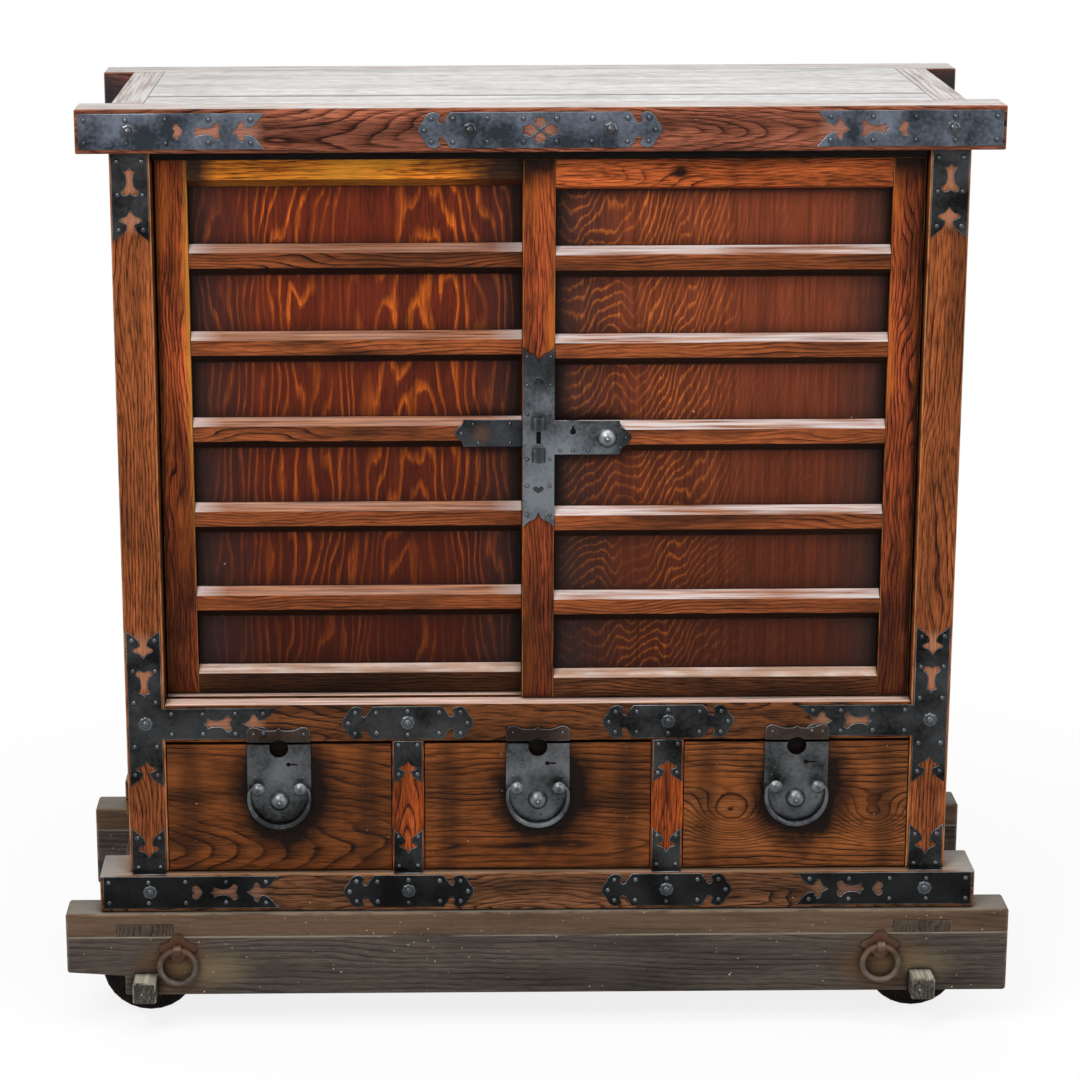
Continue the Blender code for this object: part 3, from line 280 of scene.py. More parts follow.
def join_surface(tree, shader, base, height, rough, relief_mm, lacquer):
    """Joins a colour to the shader, with its roughness and relief from one height."""
    smooth, coarse = rough
    roughness = add(tree, "ShaderNodeMapRange", {0: height, 1: 0.3, 2: 1.3, 3: coarse, 4: smooth})
    bumps = {"Height": height, "Strength": 0.6, "Distance": relief_mm * MM}
    relief = add(tree, "ShaderNodeBump", bumps, "Normal")
    feed(tree, shader, {"Base Color": base, "Roughness": roughness, "Normal": relief})
    feed(tree, shader, {"Specular IOR Level": 0.07, "Coat Weight": lacquer, "Coat Roughness": 0.3})


def ring_stops(tones):
    """Colours across a year's ring: a dark row of pores between stretches of light wood."""
    dark, middle, light = (colour(tone) for tone in tones)
    return [(0.0, light), (0.06, dark), (0.14, dark), (0.28, middle), (0.60, light), (0.97, light)]


# Grain of plain sawn boards and rails
SAWN = {"depth_mm": 12, "tilt": 0.03, "sway_mm": 4, "ragged_rings": 0.3}


def timber(
    name, axis, tones, ring_mm, worn="#9c6b43", wear=0.5, grime="#140803", dirt=0.6, amber=None,
    pale_tops_and_sheen=None, upward=(0.8, 0.95), stains=(), chips=0.0, pits=0.0, corners=0.8, under=None,
    last_stains=(), rough=(0.36, 0.62), lacquer=0.03, rails=None, **figure,
):
    """Old ring-porous timber under thin lacquer: dark pore rows, grime in patches, and pale rubbed edges.

    Rails gives the axis along which rails stand out from boards, how far out the boards' face is, and the
    grain of the rails."""
    material, tree, shader = new_material(name)
    stops = ring_stops(tones)
    base, height, place = grain(tree, axis, stops, ring_mm, **figure)
    if rails:
        letter, face, rail_axis = rails
        rail, rail_height, _ = grain(tree, rail_axis, stops, ring_mm, **SAWN)
        out = add(tree, "ShaderNodeMath", {0: axes(tree)[letter]}, operation="ABSOLUTE")
        out = add(tree, "ShaderNodeMapRange", {0: out, 1: face + 0.5 * MM, 2: face + 1.5 * MM})
        base = add(tree, "ShaderNodeMix", {0: out, 6: base, 7: rail}, **COLOURS)
        height = add(tree, "ShaderNodeMix", {0: out, 2: height, 3: rail_height})
    if amber:
        base = patchy(tree, base, amber, place, 170, 34, 0.48, 0.70, 0.75)
    base = patchy(tree, base, grime, place, 150, 40, 0.50, 0.76, dirt)
    for tone, places, *fade in stains:
        base = stain(tree, base, tone, places, *fade)
    # Faces that face up turn paler in streaks: dry, faded wood, and a painted sheen of the light from above
    if pale_tops_and_sheen:
        paled_and_sheen = facing_up(tree, *upward, 1.0)
        streaks = cloudy(tree, place, 140, 5, 0.2, 0.6, 0.95)
        paled_and_sheen = add(tree, "ShaderNodeMath", {0: paled_and_sheen, 1: streaks}, operation="MULTIPLY")
        base = add(tree, "ShaderNodeMix", {0: paled_and_sheen, 6: base, 7: colour(pale_tops_and_sheen)}, **COLOURS)
    if chips:
        base = specks(tree, base, "#cbb9a2", 15, chips)
    if pits:
        base = specks(tree, base, "#100603", 17, pits)
    # Dirt and painted shade in corners and beside the iron
    base = corner_grime_and_shade(tree, base, "#0a0402", 16, (0.85, 0.5), corners)
    base = rubbed_edges(tree, base, worn, place, wear)
    # Painted shade: faces that face down take the under tone, darker as in shadow
    if under:
        base = ranged(tree, base, under, axes(tree, "Normal")["Z"], -0.25, -0.5, 0.8)
    for tone, places, *fade in last_stains:
        base = stain(tree, base, tone, places, *fade)
    join_surface(tree, shader, base, height, rough, relief_mm=0.6, lacquer=lacquer)
    return material


def both_sides(*places):
    return [side * x for x in places for side in (-1, 1)]


def kept_clean(places, face, heights, reach):
    """Stains of paler wood, which the iron kept from smoke, inside the pierced shapes of its plates."""
    return [((x, face, z), (reach, 0.03, reach), 0.36) for x in places for z in heights]


# Zelkova frame, wiped with lacquer: reddish brown with dark open pores
# Near black: soot, and painted shade in gaps, hollows and on faces turned down
SOOT_AND_SHADE = "#0c0503"
RAIL = ("#241007", "#573219", "#6d3e1f")
# Pale grey of the rails' tops: dry wood, and partly a painted sheen
DRY_TOP_AND_SHEEN = "#b9b5b2"
post_zelkova = timber(
    "zelkova_post", "Z", ("#3a1709", "#7c4022", "#935029"), 6.0, worn="#b98356", wear=0.75, dirt=0.5,
    stains=[
        ("#b8856a", kept_clean(both_sides(POST_X), FRONT, (1.142, 1.096, 0.528, 0.485), 0.024)),
        # Painted shade on the posts' inner sides, in the gaps beside the doors
        (SOOT_AND_SHADE, [((x, -0.165, 0.8), (0.01, 0.05, 2.0), 0.95) for x in both_sides(0.491)]),
    ],
    heart=(0.7, 0.60), depth_mm=18, tilt=0.05, faded=0.85, mirrored=True,
)
middle_zelkova = timber(
    "zelkova_middle_rail", "X", RAIL, 5.5, pale_tops_and_sheen="#f0cdbd",
    stains=[
        ("#b8856a", kept_clean(both_sides(0.421, 0.379), FRONT, [MIDDLE_LINE], 0.022)),
        # Painted shade: black on the rail inside the top of each finger hole
        (SOOT_AND_SHADE, [((x, FRONT, MIDDLE_LOW + MM), (0.036, 0.02, 0.028), 1.0) for x in DRAWERS.values()]),
    ],
    heart=(-0.3, 0.40), depth_mm=45,
)
# Head rail over the doors: near black, painted shade of the gap it sits in
head_zelkova = timber("shaded_head_rail", "X", ("#060302", "#0d0704", "#140a06"), 6.0, wear=0.0)
base_zelkova = timber(
    "zelkova_base_rail", "X", ("#26140a", "#5c3a23", "#744b30"), 5.5, pale_tops_and_sheen="#a3836a",
    stains=[("#86614f", kept_clean(both_sides(0.4515, 0.415, 0.38), BASE_FACE, [BASE_LINE], 0.022))],
    last_stains=[("#8f8b84", [((x, -0.2, BASE_TOP), (0.045, 0.2, 0.004), 0.9) for x in both_sides(0.58)])],
    chips=0.5, heart=(0.3, 0.17), depth_mm=35,
)
top_zelkova = timber(
    "zelkova_top_rail", "X", ("#35160c", "#753d2b", "#8f533d"), 4.6, wear=0.35, pale_tops_and_sheen=DRY_TOP_AND_SHEEN,
    stains=[("#b58270", kept_clean([*both_sides(0.453, 0.416, 0.37), 0.0], TOP_FACE, [TOP_MIDDLE], 0.027))],
    chips=0.4, heart=(0.2, 1.205), depth_mm=10, sway_mm=8,
)
back_zelkova = timber(
    "zelkova_back_rail", "X", ("#35180e", "#653a2b", "#7d4c3b"), 7.5, pale_tops_and_sheen=DRY_TOP_AND_SHEEN,
    stains=[("#26262a", [((x, 0.15, 1.2), (0.05, 0.05, 0.08), 0.95) for x in both_sides(0.575)])],
)
end_zelkova = timber("zelkova_end_rail", "Y", RAIL, 7.0, pale_tops_and_sheen=DRY_TOP_AND_SHEEN)
divider_zelkova = timber(
    "zelkova_divider", "Z", ("#431708", "#8a3d18", "#a44c1d"), 5.5, heart=(0.3, 0.1715), depth_mm=9,
    mirrored=True,
)

# Boards of the sides, back and inside: plainer and paler cedar, a little dusty
board_cedar = timber(
    "cedar_board", "flat", ("#3d2416", "#63402a", "#7b5438"), 8.0, wear=0.4, board_mm=150, **SAWN,
)
side_cedar = timber(
    "cedar_side_board", "side", ("#46230f", "#6b3d26", "#824f33"), 8.0, wear=0.5, board_mm=165,
    rails=("X", 0.530, "side_rail"), **SAWN,
)
back_cedar = timber(
    "cedar_back_board", "Z", ("#422b1c", "#5f402b", "#745239"), 8.0, wear=0.4, rough=(0.5, 0.75),
    lacquer=0.0, board_mm=180, rails=("Y", 0.204, "X"), **SAWN,
)
drawer_box_cedar = timber(
    "paulownia_drawer_box", "Y", ("#7a5539", "#a37a52", "#b88f66"), 8.0, wear=0.3, dirt=0.3, lacquer=0.0,
    **SAWN,
)

# Top boards: lacquer long gone, pale grey and dry with darker streaks; the pale grey is partly a painted
# sheen
top_boards = timber(
    "weathered_top_board", "flat", ("#a09d9b", "#bab8b6", "#c5c3c2"), 7.0, worn="#a8a29c", dirt=0.7,
    grime="#7b7775", stains=[("#55514f", [((0, -0.1055, 1.2346), (2, 0.009, 0.1), 0.9)])], corners=0.4,
    rough=(0.42, 0.7), lacquer=0.0, faded=0.8, pore=0.4, bands=(0.82, 1.12), heart=(0.2, 0.02), **SAWN,
)

# Door frames: the same timber under an orange lacquer, which is worn to patches and black at the foot
# Painted shade: the door frames darker towards the foot, as the light falls off downward
LOWER_SHADE = [((0.0, -0.18, 0.40), (2.0, 2.0, 0.42), 0.72)]
STILE_ENDS = [((x, RIGHT_DOOR_FACE, 1.175), (0.06, 1.0, 0.055), 0.95) for x in (0.0, 0.469)]
# Painted shade: black on the stile behind the lock's bolt slot
BOLT_SLOT = [((0.0, RIGHT_DOOR_FACE, LOCK_LEVEL), (0.03, 0.05, 0.04), 1.0)]
# Stiles darkest at their outer edges beside the posts: wear, and painted shade of the gaps
STILE_EDGES = [
    ((0.494, RIGHT_DOOR_FACE, 0.85), (0.016, 1.0, 0.6), 0.95),
    ((-0.492, LEFT_DOOR_FACE, 0.80), (0.012, 1.0, 0.5), 0.7),
]
BARE_EDGE = [((-0.448, LEFT_DOOR_FACE, 0.95), (0.009, 1.0, 0.35), 0.65)]
RAIL_ENDS = [
    ((-0.445, LEFT_DOOR_FACE, 1.15), (0.035, 1, 1), 0.95),
    ((-0.03, LEFT_DOOR_FACE, 1.145), (0.08, 1, 0.06), 0.95),
]
KNOT = [((0.179, RIGHT_DOOR_FACE, 1.147), (0.016, 1, 0.013), 0.95)]
SMOKY_FOOT = [((-0.30, LEFT_DOOR_FACE, 0.46), (0.32, 1, 1), 0.75)]


def stile_lacquer(name, tones):
    return timber(
        name, "Z", tones, 5.0, worn="#b97e40", wear=0.75, dirt=0.85, amber="#b86424",
        stains=[("#b07a2c", BARE_EDGE), ("#1b0a05", LOWER_SHADE), (SOOT_AND_SHADE, STILE_EDGES + STILE_ENDS)],
        last_stains=[(SOOT_AND_SHADE, BOLT_SLOT, 1.0, 1.3)], pits=0.9, heart=(0.5, 0.7), depth_mm=30, tilt=0.03,
        bands=(0.4, 1.35),
    )


left_stile_lacquer = stile_lacquer("orange_lacquered_stile", ("#3c150a", "#b0502c", "#ce6434"))
right_stile_lacquer = stile_lacquer("red_lacquered_stile", ("#38140a", "#873c20", "#a44d28"))
left_rail_lacquer = timber(
    "amber_lacquered_top_rail", "X", ("#8a3c08", "#de741e", "#f8942a"), 5.0, worn="#d0a05a",
    grime="#5c2206", dirt=0.6, amber="#f7a834", under="#3a1606", stains=[("#1c1310", RAIL_ENDS)],
    heart=(-0.2, 1.30), tilt=0.02, sway_mm=5, ragged_rings=0.2, lacquer=0.12,
)
right_rail_lacquer = timber(
    "red_lacquered_top_rail", "X", ("#4a180b", "#b05024", "#c96632"), 5.0, worn="#c08044", dirt=0.5,
    under="#5c2410", stains=[(SOOT_AND_SHADE, KNOT)], heart=(0.2, 1.30),
)
foot_rail_lacquer = timber(
    "black_lacquered_bottom_rail", "X", ("#160904", "#4b2a16", "#60371d"), 5.5, pale_tops_and_sheen="#c9b3a8",
    upward=(0.25, 0.4), dirt=0.9, stains=[(SOOT_AND_SHADE, SMOKY_FOOT)], worn="#9a6a42",
)

# Drawer fronts: figured zelkova, black with handling round the lock, and black in the finger hole with soot
# and painted shade
HANDLED = (0.070, 1.0, 0.084)
HOLLOW = (0.034, 0.05, 0.034)
KNOTS = [((0.256, 0.291), 0.055), ((0.448, 0.289), 0.050)]


def drawer_figure(side, heart, tilt, tone="#613214", light="#75401c", faded=0.6, knots=()):
    middle = DRAWERS[side]
    ends = [((middle + x, DRAWER_FACE, 0.307), (0.020, 1.0, 0.2), 0.5) for x in both_sides(0.118)]
    handled = [((middle + 0.006, DRAWER_FACE, 0.328), HANDLED, 0.97)]
    # Soot and painted shade in the finger hole's hollow
    hollow = [((middle, -0.2, FINGER_HOLE), HOLLOW, 1.0)]
    return timber(
        f"figured_zelkova_{side}", "X", ("#1e0c04", tone, light), 8.0, worn="#b98f66", wear=0.75,
        amber="#7a431c", heart=heart, depth_mm=14, tilt=tilt, sway_mm=8, ragged_rings=0.25, faded=faded,
        pore=0.6, knots=knots, stains=[(SOOT_AND_SHADE, handled, 1.0, 1.42), ("#1c0e07", ends)],
        last_stains=[(SOOT_AND_SHADE, hollow, 1.0, 1.3)], chips=0.3,
    )


drawer_zelkova = {
    "left": drawer_figure("left", (-0.50, 0.250), 0.24, "#54290f", "#683817"),
    "middle": drawer_figure("middle", (0.03, 0.252), 0.06),
    "right": drawer_figure("right", (0.34, 0.19), 0.02, "#6f3d1c", "#844c25", 0.1, KNOTS),
}

# Axles, cross members and wheels: bare wood, grey with age and dirty, darkest at the end grain
axle_wood = timber(
    "worn_axle", "Y", ("#2a2926", "#45433e", "#565249"), 6.0, worn="#a39a89", wear=0.6, pale_tops_and_sheen="#b0a999",
    chips=0.8, rough=(0.6, 0.85), lacquer=0.0,
)
cross_wood = timber(
    "weathered_cross_member", "Y", ("#2b2521", "#443a33", "#54493f"), 6.0, worn="#8a7862", wear=0.5,
    chips=0.5, rough=(0.55, 0.85), lacquer=0.0, faded=0.9, pore=0.35, bands=(0.8, 1.15),
)
wheel_wood = timber(
    "sooty_wheel", "Y", ("#0b0908", "#171311", "#211c18"), 7.0, worn="#3a332c", wear=0.5,
    rough=(0.5, 0.8), lacquer=0.0,
)

# Height of the line scribed along the beams
SCRIBED = 0.1314


def weathered_beam(name):
    """Bare beam: grey-brown and dry, with paint specks, a scribed line and a browner band over that."""
    material, tree, shader = new_material(name)
    stops = ring_stops(("#352f2a", "#443d37", "#534b44"))
    figure = {"heart": (0.0, -0.3), "sway_mm": 7, "faded": 0.97, "pore": 0.3, "bands": (0.8, 1.15)}
    base, height, place = grain(tree, "X", stops, 8.0, **figure)
    level = axes(tree)["Z"]
    base = ranged(tree, base, "#664c38", level, SCRIBED, SCRIBED + 4 * MM, 0.6)
    base = patchy(tree, base, "#1f1a16", place, 240, 40, 0.46, 0.74, 0.7)
    away = add(tree, "ShaderNodeMath", {0: level, 1: SCRIBED}, operation="SUBTRACT")
    away = add(tree, "ShaderNodeMath", {0: away}, operation="ABSOLUTE")
    line = add(tree, "ShaderNodeMapRange", {0: away, 1: 0.6 * MM, 2: 1.8 * MM, 3: 0.75, 4: 0.0})
    kept = cloudy(tree, place, 160, 160, 0.30, 0.55, 1.0)
    line = add(tree, "ShaderNodeMath", {0: line, 1: kept}, operation="MULTIPLY")
    base = add(tree, "ShaderNodeMix", {0: line, 6: base, 7: colour("#8c8373")}, **COLOURS)
    rust = [((x, BEAM_FACE, 0.09), (0.07, 0.05, 0.05), 0.7) for x in RINGS]
    base = stain(tree, base, "#5a4028", rust)
    scrapes = [((x, BEAM_FACE, 0.085), (0.06, 0.05, 0.03), 0.6) for x in (-0.43, 0.51)]
    base = stain(tree, base, "#7d6d52", scrapes, 0.3)
    base = ranged(tree, base, "#87837a", axes(tree, "Normal")["Z"], 0.8, 0.95, 0.7)
    base = specks(tree, base, "#b8ab94", 9, 0.6)
    base = specks(tree, base, "#d8d0bf", 26, 0.9)
    # Dirt and painted shade in corners and beside the iron
    base = corner_grime_and_shade(tree, base, "#0a0806", 16, (0.85, 0.5), 0.8)
    base = rubbed_edges(tree, base, "#8a7862", place, 0.6)
    join_surface(tree, shader, base, height, (0.55, 0.85), relief_mm=1.0, lacquer=0.0)
    return material


beam_wood = weathered_beam("weathered_beam")

# How far behind a door's face its battens rise from the panel
BATTEN_DEPTH = 0.0116


def flame_panel(name, face, left, right, lines, plain, white, holes=(), **figure):
    """A door panel with its battens. Under old lacquer the panel's late wood glows as thin orange flames.

    Lines gives the colours between the flames, beside them and of them, and the share of a ring that each
    flame fades over. Plain gives where along X the flames give way to plain brown, white how far the battens'
    upper splays are rubbed pale and painted with a sheen, and holes the places inside the lock that are
    painted black as shade."""
    material, tree, shader = new_material(name)
    *tones, fade = lines
    deep, glow, bright = (colour(tone) for tone in tones)
    stops = [(0.0, bright), (0.05, bright), (0.05 + fade, deep), (0.88, deep), (0.97, glow)]
    flames, flame_height, place = grain(tree, "Z", stops, faded=0.0, pore=0.5, bands=(0.75, 1.2), **figure)
    parts = axes(tree)
    lost = cloudy(tree, place, 320, 70, 0.44, 0.66, 0.85)
    bare = add(tree, "ShaderNodeMapRange", {0: parts["X"], 1: plain[0], 2: plain[1], 4: 0.92})
    lost = add(tree, "ShaderNodeMath", {0: lost, 1: bare}, operation="MAXIMUM")
    flames = add(tree, "ShaderNodeMix", {0: lost, 6: flames, 7: deep}, **COLOURS)
    flames = patchy(tree, flames, "#2e120a", place, 120, 4, 0.35, 0.65, 0.5)
    # Painted shade: the panel darker towards the bottom, as the light falls off downward
    flames = ranged(tree, flames, "#1c0602", parts["Z"], 1.10, 0.50, 0.73)
    # Darker towards both ends beside the stiles: dirt, and painted shade of the panel's recess
    ends = [((left, face, 0.8), (0.10, 1, 3), 0.95), ((right, face, 0.8), (0.08, 1, 3), 0.9)]
    flames = stain(tree, flames, "#241d1c", ends, core=0.15)
    # Dirt and painted shade in the panel's corners and under the battens
    flames = corner_grime_and_shade(tree, flames, "#0a0402", 24, (0.97, 0.72), 0.95)
    flames = specks(tree, flames, "#c0a78a", 34, 0.6)

    stops = ring_stops(("#2a1006", "#723c1f", "#8e4b27"))
    batten, batten_height, place = grain(tree, "X", stops, 5.0, heart=(0.0, 2.0), faded=0.85, pore=0.5)
    batten = patchy(tree, batten, "#1a0d07", place, 160, 30, 0.48, 0.72, 0.8)
    # Upper splays paler: rubbed wood, and a painted sheen where they face the light above, whitest towards
    # the outer ends
    splay = facing_up(tree, 0.25, 0.4, 0.85)
    streaks = cloudy(tree, place, 110, 2.5, 0.34, 0.66, 1.0)
    faded = [(0.0, colour("#5e3420")), (1.0, colour("#b07a5a"))]
    faded = add(tree, "ShaderNodeValToRGB", {0: streaks}, stops=faded)
    batten = add(tree, "ShaderNodeMix", {0: splay, 6: batten, 7: faded}, **COLOURS)
    middle_x = (left + right) / 2
    outer = add(tree, "ShaderNodeMath", {0: parts["X"], 1: middle_x}, operation="SUBTRACT")
    outer = add(tree, "ShaderNodeMath", {0: outer}, operation="ABSOLUTE")
    outer = add(tree, "ShaderNodeMapRange", {0: outer, 1: 0.17, 2: 0.22, 4: 0.7})
    scuffed_and_sheen = cloudy(tree, place, 150, 5, 0.36, 0.62, white)
    scuffed_and_sheen = add(tree, "ShaderNodeMath", {0: scuffed_and_sheen, 1: outer}, operation="MAXIMUM")
    scuffed_and_sheen = add(tree, "ShaderNodeMath", {0: scuffed_and_sheen, 1: splay}, operation="MULTIPLY")
    batten = add(tree, "ShaderNodeMix", {0: scuffed_and_sheen, 6: batten, 7: colour("#d3cbca")}, **COLOURS)
    # Painted shade: the battens' lower splays, turned down, go near black
    batten = ranged(tree, batten, SOOT_AND_SHADE, axes(tree, "Normal")["Z"], -0.25, -0.4, 0.95)

    panel = face + BATTEN_DEPTH
    raised = add(tree, "ShaderNodeMapRange", {0: parts["Y"], 1: panel, 2: panel - 0.4 * MM})
    base = add(tree, "ShaderNodeMix", {0: raised, 6: flames, 7: batten}, **COLOURS)
    # Painted shade: black inside the lock's openings
    base = stain(tree, base, SOOT_AND_SHADE, holes, 1.0, 1.3)
    height = add(tree, "ShaderNodeMix", {0: raised, 2: flame_height, 3: batten_height})
    join_surface(tree, shader, base, height, (0.32, 0.5), relief_mm=0.4, lacquer=0.04)
    return material


left_flames = flame_panel(
    "cedar_flame_panel_left", LEFT_DOOR_FACE, -0.4482, -0.0208, ("#6c2814", "#a8481a", "#d8691f", 0.30),
    (1.0, 2.0), 0.12, ring_mm=12.5, heart=(0.45, -0.17), depth_mm=4, tilt=0.13, sway_mm=20,
    ragged_rings=0.6,
)
right_flames = flame_panel(
    "cedar_flame_panel_right", RIGHT_DOOR_FACE, 0.0208, 0.4482, ("#7a3a23", "#ae5424", "#e67f32", 0.27),
    (0.16, 0.27), 0.85, [((0.0445, RIGHT_DOOR_FACE, 0.812), (0.014, 0.03, 0.016), 1.0)], ring_mm=6.2,
    heart=(1.28, 0.05), depth_mm=8, tilt=-0.40, sway_mm=15, ragged_rings=0.8,
)


def forged_iron(name, tones, bare, rough, edge_wear=0.5, stains=(), metallic=0.9, polish=0.0):
    """Hammered iron under black lacquer or oil: soft dents, and bright metal where its edges are rubbed."""
    material, tree, shader = new_material(name)
    spot = add(tree, "ShaderNodeTexCoord", out="Object")
    dents = add(tree, "ShaderNodeTexNoise", {"Vector": spot, "Scale": 1 / (55 * MM), "Detail": 1.5})
    scale = add(tree, "ShaderNodeTexNoise", {"Vector": spot, "Scale": 1 / (5 * MM), "Detail": 4.0})
    mixed = add(tree, "ShaderNodeMath", {0: scale, 1: 0.35, 2: dents}, operation="MULTIPLY_ADD")
    dark, light = (colour(tone) for tone in tones)
    base = add(tree, "ShaderNodeValToRGB", {0: mixed}, stops=[(0.52, dark), (0.86, light)])
    base = rubbed_edges(tree, base, bare, spot, edge_wear)
    for tone, places in stains:
        base = stain(tree, base, tone, places)
    roughness = add(tree, "ShaderNodeMapRange", {0: scale, 1: 0.3, 2: 0.7, 3: rough[0], 4: rough[1]})
    relief = add(tree, "ShaderNodeBump", {"Height": mixed, "Strength": 0.5, "Distance": 0.6 * MM}, "Normal")
    feed(tree, shader, {"Base Color": base, "Roughness": roughness, "Normal": relief})
    feed(tree, shader, {"Metallic": metallic, "Coat Weight": polish, "Coat Roughness": 0.14})
    return material


# Iron: black with lacquer, painted lighter and bluish at the top as sheen, darker at the foot as shade, grey
# on the locks
top_iron = forged_iron("lacquered_iron_painted_sheen", ("#2a2f36", "#646b77"), "#8d9296", (0.34, 0.52))
black_iron = forged_iron("black_lacquered_iron", ("#0f0f10", "#393a3b"), "#8d9296", (0.34, 0.52))
foot_iron = forged_iron("lacquered_iron_painted_shade", ("#0a0a0a", "#212222"), "#6d6c6a", (0.36, 0.55))
nail_iron = forged_iron("black_nail_iron", ("#26292c", "#53575b"), "#494c4f", (0.2, 0.3), 0.0, polish=0.3)
cut_iron = forged_iron("bright_cut_iron", ("#55585b", "#989c9f"), "#c0c3c5", (0.3, 0.5), 0.0)
strike_iron = forged_iron("brown_strike_iron", ("#241c18", "#463932"), "#8a8682", (0.36, 0.5))
PLATE_ENDS = [
    ((0.0, -0.196, 0.90), (0.06, 0.02, 0.05), 0.75),
    ((0.115, -0.196, 0.804), (0.025, 0.02, 0.04), 0.7),
]
HASPS = [((0.0, -0.214, z), (0.016, 0.014, 0.018), 0.8) for z in (0.783, 0.8245)]
SMOKED = [("#1b1c1e", PLATE_ENDS), ("#1d1e20", HASPS)]
lock_iron = forged_iron("oiled_lock_iron", ("#2a2c2e", "#70757a"), "#8f9396", (0.34, 0.46), 0.8, SMOKED)
plate_iron = forged_iron("oiled_drawer_iron", ("#242525", "#606265"), "#75787a", (0.32, 0.44), 0.8)
RUST = [("#5c4234", [((-0.073, -0.168, 0.803), (0.016, 0.02, 0.017), 0.7)])]
arm_iron = forged_iron("scarred_lock_iron", ("#121213", "#3b3e42"), "#8a8d90", (0.34, 0.5), 0.7, RUST)
bail_iron = forged_iron("polished_bail_iron", ("#25272a", "#686c70"), "#a3a6a8", (0.2, 0.28), 0.0, polish=0.2)
RUSTED = [("#55341f", [((x, -0.237, 0.116), (0.042, 0.02, 0.034), 0.85) for x in RINGS])]
rusty_iron = forged_iron("rusty_ring_iron", ("#2a2420", "#57493f"), "#8d7d70", (0.45, 0.7), 0.5, RUSTED, 0.45)


# What each CAD node is made of, and how far its edges are rounded, in mm
FINISHES = {
    "front_post": (post_zelkova, 0.9),
    "back_post": (post_zelkova, 0.9),
    "top_front_rail": (top_zelkova, 0.9),
    "top_back_rail": (back_zelkova, 0.9),
    "top_end_rail": (end_zelkova, 0.9),
    "top_board": (top_boards, 0.8),
    "base_": (base_zelkova, 0.9),
    "middle_rail": (middle_zelkova, 1.2),
    "door_head_rail": (head_zelkova, 0.9),
    "cabinet_floor": (board_cedar, 0.5),
    "drawer_deck": (board_cedar, 0.5),
    "drawer_partition": (divider_zelkova, 0.8),
    "side_panel": (side_cedar, 0.8),
    "back_panel": (back_cedar, 0.8),
    "left_door_stile": (left_stile_lacquer, 1.2),
    "right_door_stile": (right_stile_lacquer, 1.2),
    "left_door_top_rail": (left_rail_lacquer, 1.2),
    "right_door_top_rail": (right_rail_lacquer, 1.2),
    "left_door_bottom_rail": (foot_rail_lacquer, 1.2),
    "right_door_bottom_rail": (foot_rail_lacquer, 1.2),
    "left_door_panel": (left_flames, 0.7),
    "right_door_panel": (right_flames, 0.7),
    "front_beam": (beam_wood, 1.5),
    "back_beam": (beam_wood, 1.5),
    "cross_member": (cross_wood, 0.6),
    "axle": (axle_wood, 1.0),
    "front_wheel": (wheel_wood, 1.0),
    "back_wheel": (wheel_wood, 1.0),
    "ring_": (rusty_iron, 0),
    "left_door_lock_arm": (arm_iron, 0.7),
    "right_door_lock_plate": (lock_iron, 0.7),
}
for side, wood in drawer_zelkova.items():
    FINISHES[f"drawer_{side}_front"] = (wood, 1.4)
    FINISHES[f"drawer_{side}_box"] = (drawer_box_cedar, 0.5)
    FINISHES[f"drawer_{side}_lock_plate"] = (plate_iron, 0.7)
    FINISHES[f"drawer_{side}_bail"] = (bail_iron, 0)


def shading_group(angle_degrees):
    """Joins the loose triangles of a CAD mesh and shades it smooth, except across sharp edges."""
    group = bpy.data.node_groups.new("joined_and_shaded", "GeometryNodeTree")
    group.interface.new_socket("Geometry", in_out="INPUT", socket_type="NodeSocketGeometry")
    group.interface.new_socket("Geometry", in_out="OUTPUT", socket_type="NodeSocketGeometry")
    shape = add(group, "NodeGroupInput")
    shape = add(group, "GeometryNodeRemoveAttribute", {"Geometry": shape, "Name": "custom_normal"})
    shape = add(group, "GeometryNodeMergeByDistance", {"Geometry": shape, "Distance": 0.01 * MM})
    bend = add(group, "GeometryNodeInputMeshEdgeAngle", out="Unsigned Angle")
    soft = add(group, "FunctionNodeCompare", {0: bend, 1: math.radians(angle_degrees)}, operation="LESS_THAN")
    shape = add(group, "GeometryNodeSetShadeSmooth", {"Geometry": shape, "Shade Smooth": True}, domain="FACE")
    shape = add(group, "GeometryNodeSetShadeSmooth", {"Geometry": shape, "Shade Smooth": soft}, domain="EDGE")
    add(group, "NodeGroupOutput", {0: shape}, None)
    return group


joined = shading_group(32)
for name, node in nodes.items():
    finish = max((key for key in FINISHES if name.startswith(key)), key=len)
    material, round_mm = FINISHES[finish]
    node.data.materials.clear()
    node.data.materials.append(material)
    node.modifiers.new("Joined", "NODES").node_group = joined
    if round_mm:
        node.modifiers.new("Whole faces", "DECIMATE").decimate_type = "DISSOLVE"
        node.modifiers["Whole faces"].angle_limit = math.radians(0.5)
        rounded = node.modifiers.new("Rounded edges", "BEVEL")
        rounded.width = round_mm * MM
        rounded.segments = 2
        rounded.limit_method = "ANGLE"
        rounded.angle_limit = math.radians(35)
        rounded.harden_normals = True


# Iron trim. Each plate is drawn flat, s along it and t across it, in mm, and then laid on its face
PLATE = 1.2
chance = random.Random(7)


def through(points, steps=4):
    """Points along a smooth curve through the given ones."""
    ends = [points[0], *points, points[-1]]
    drawn = []
    for i in range(len(points) - 1):
        for k in range(steps):
            f = k / steps
            drawn.append(
                tuple(
                    b + 0.5 * f * (c - a + f * (2 * a - 5 * b + 4 * c - d + f * (3 * (b - c) + d - a)))
                    for a, b, c, d in zip(*ends[i : i + 4])
                )
            )
    return [*drawn, points[-1]]


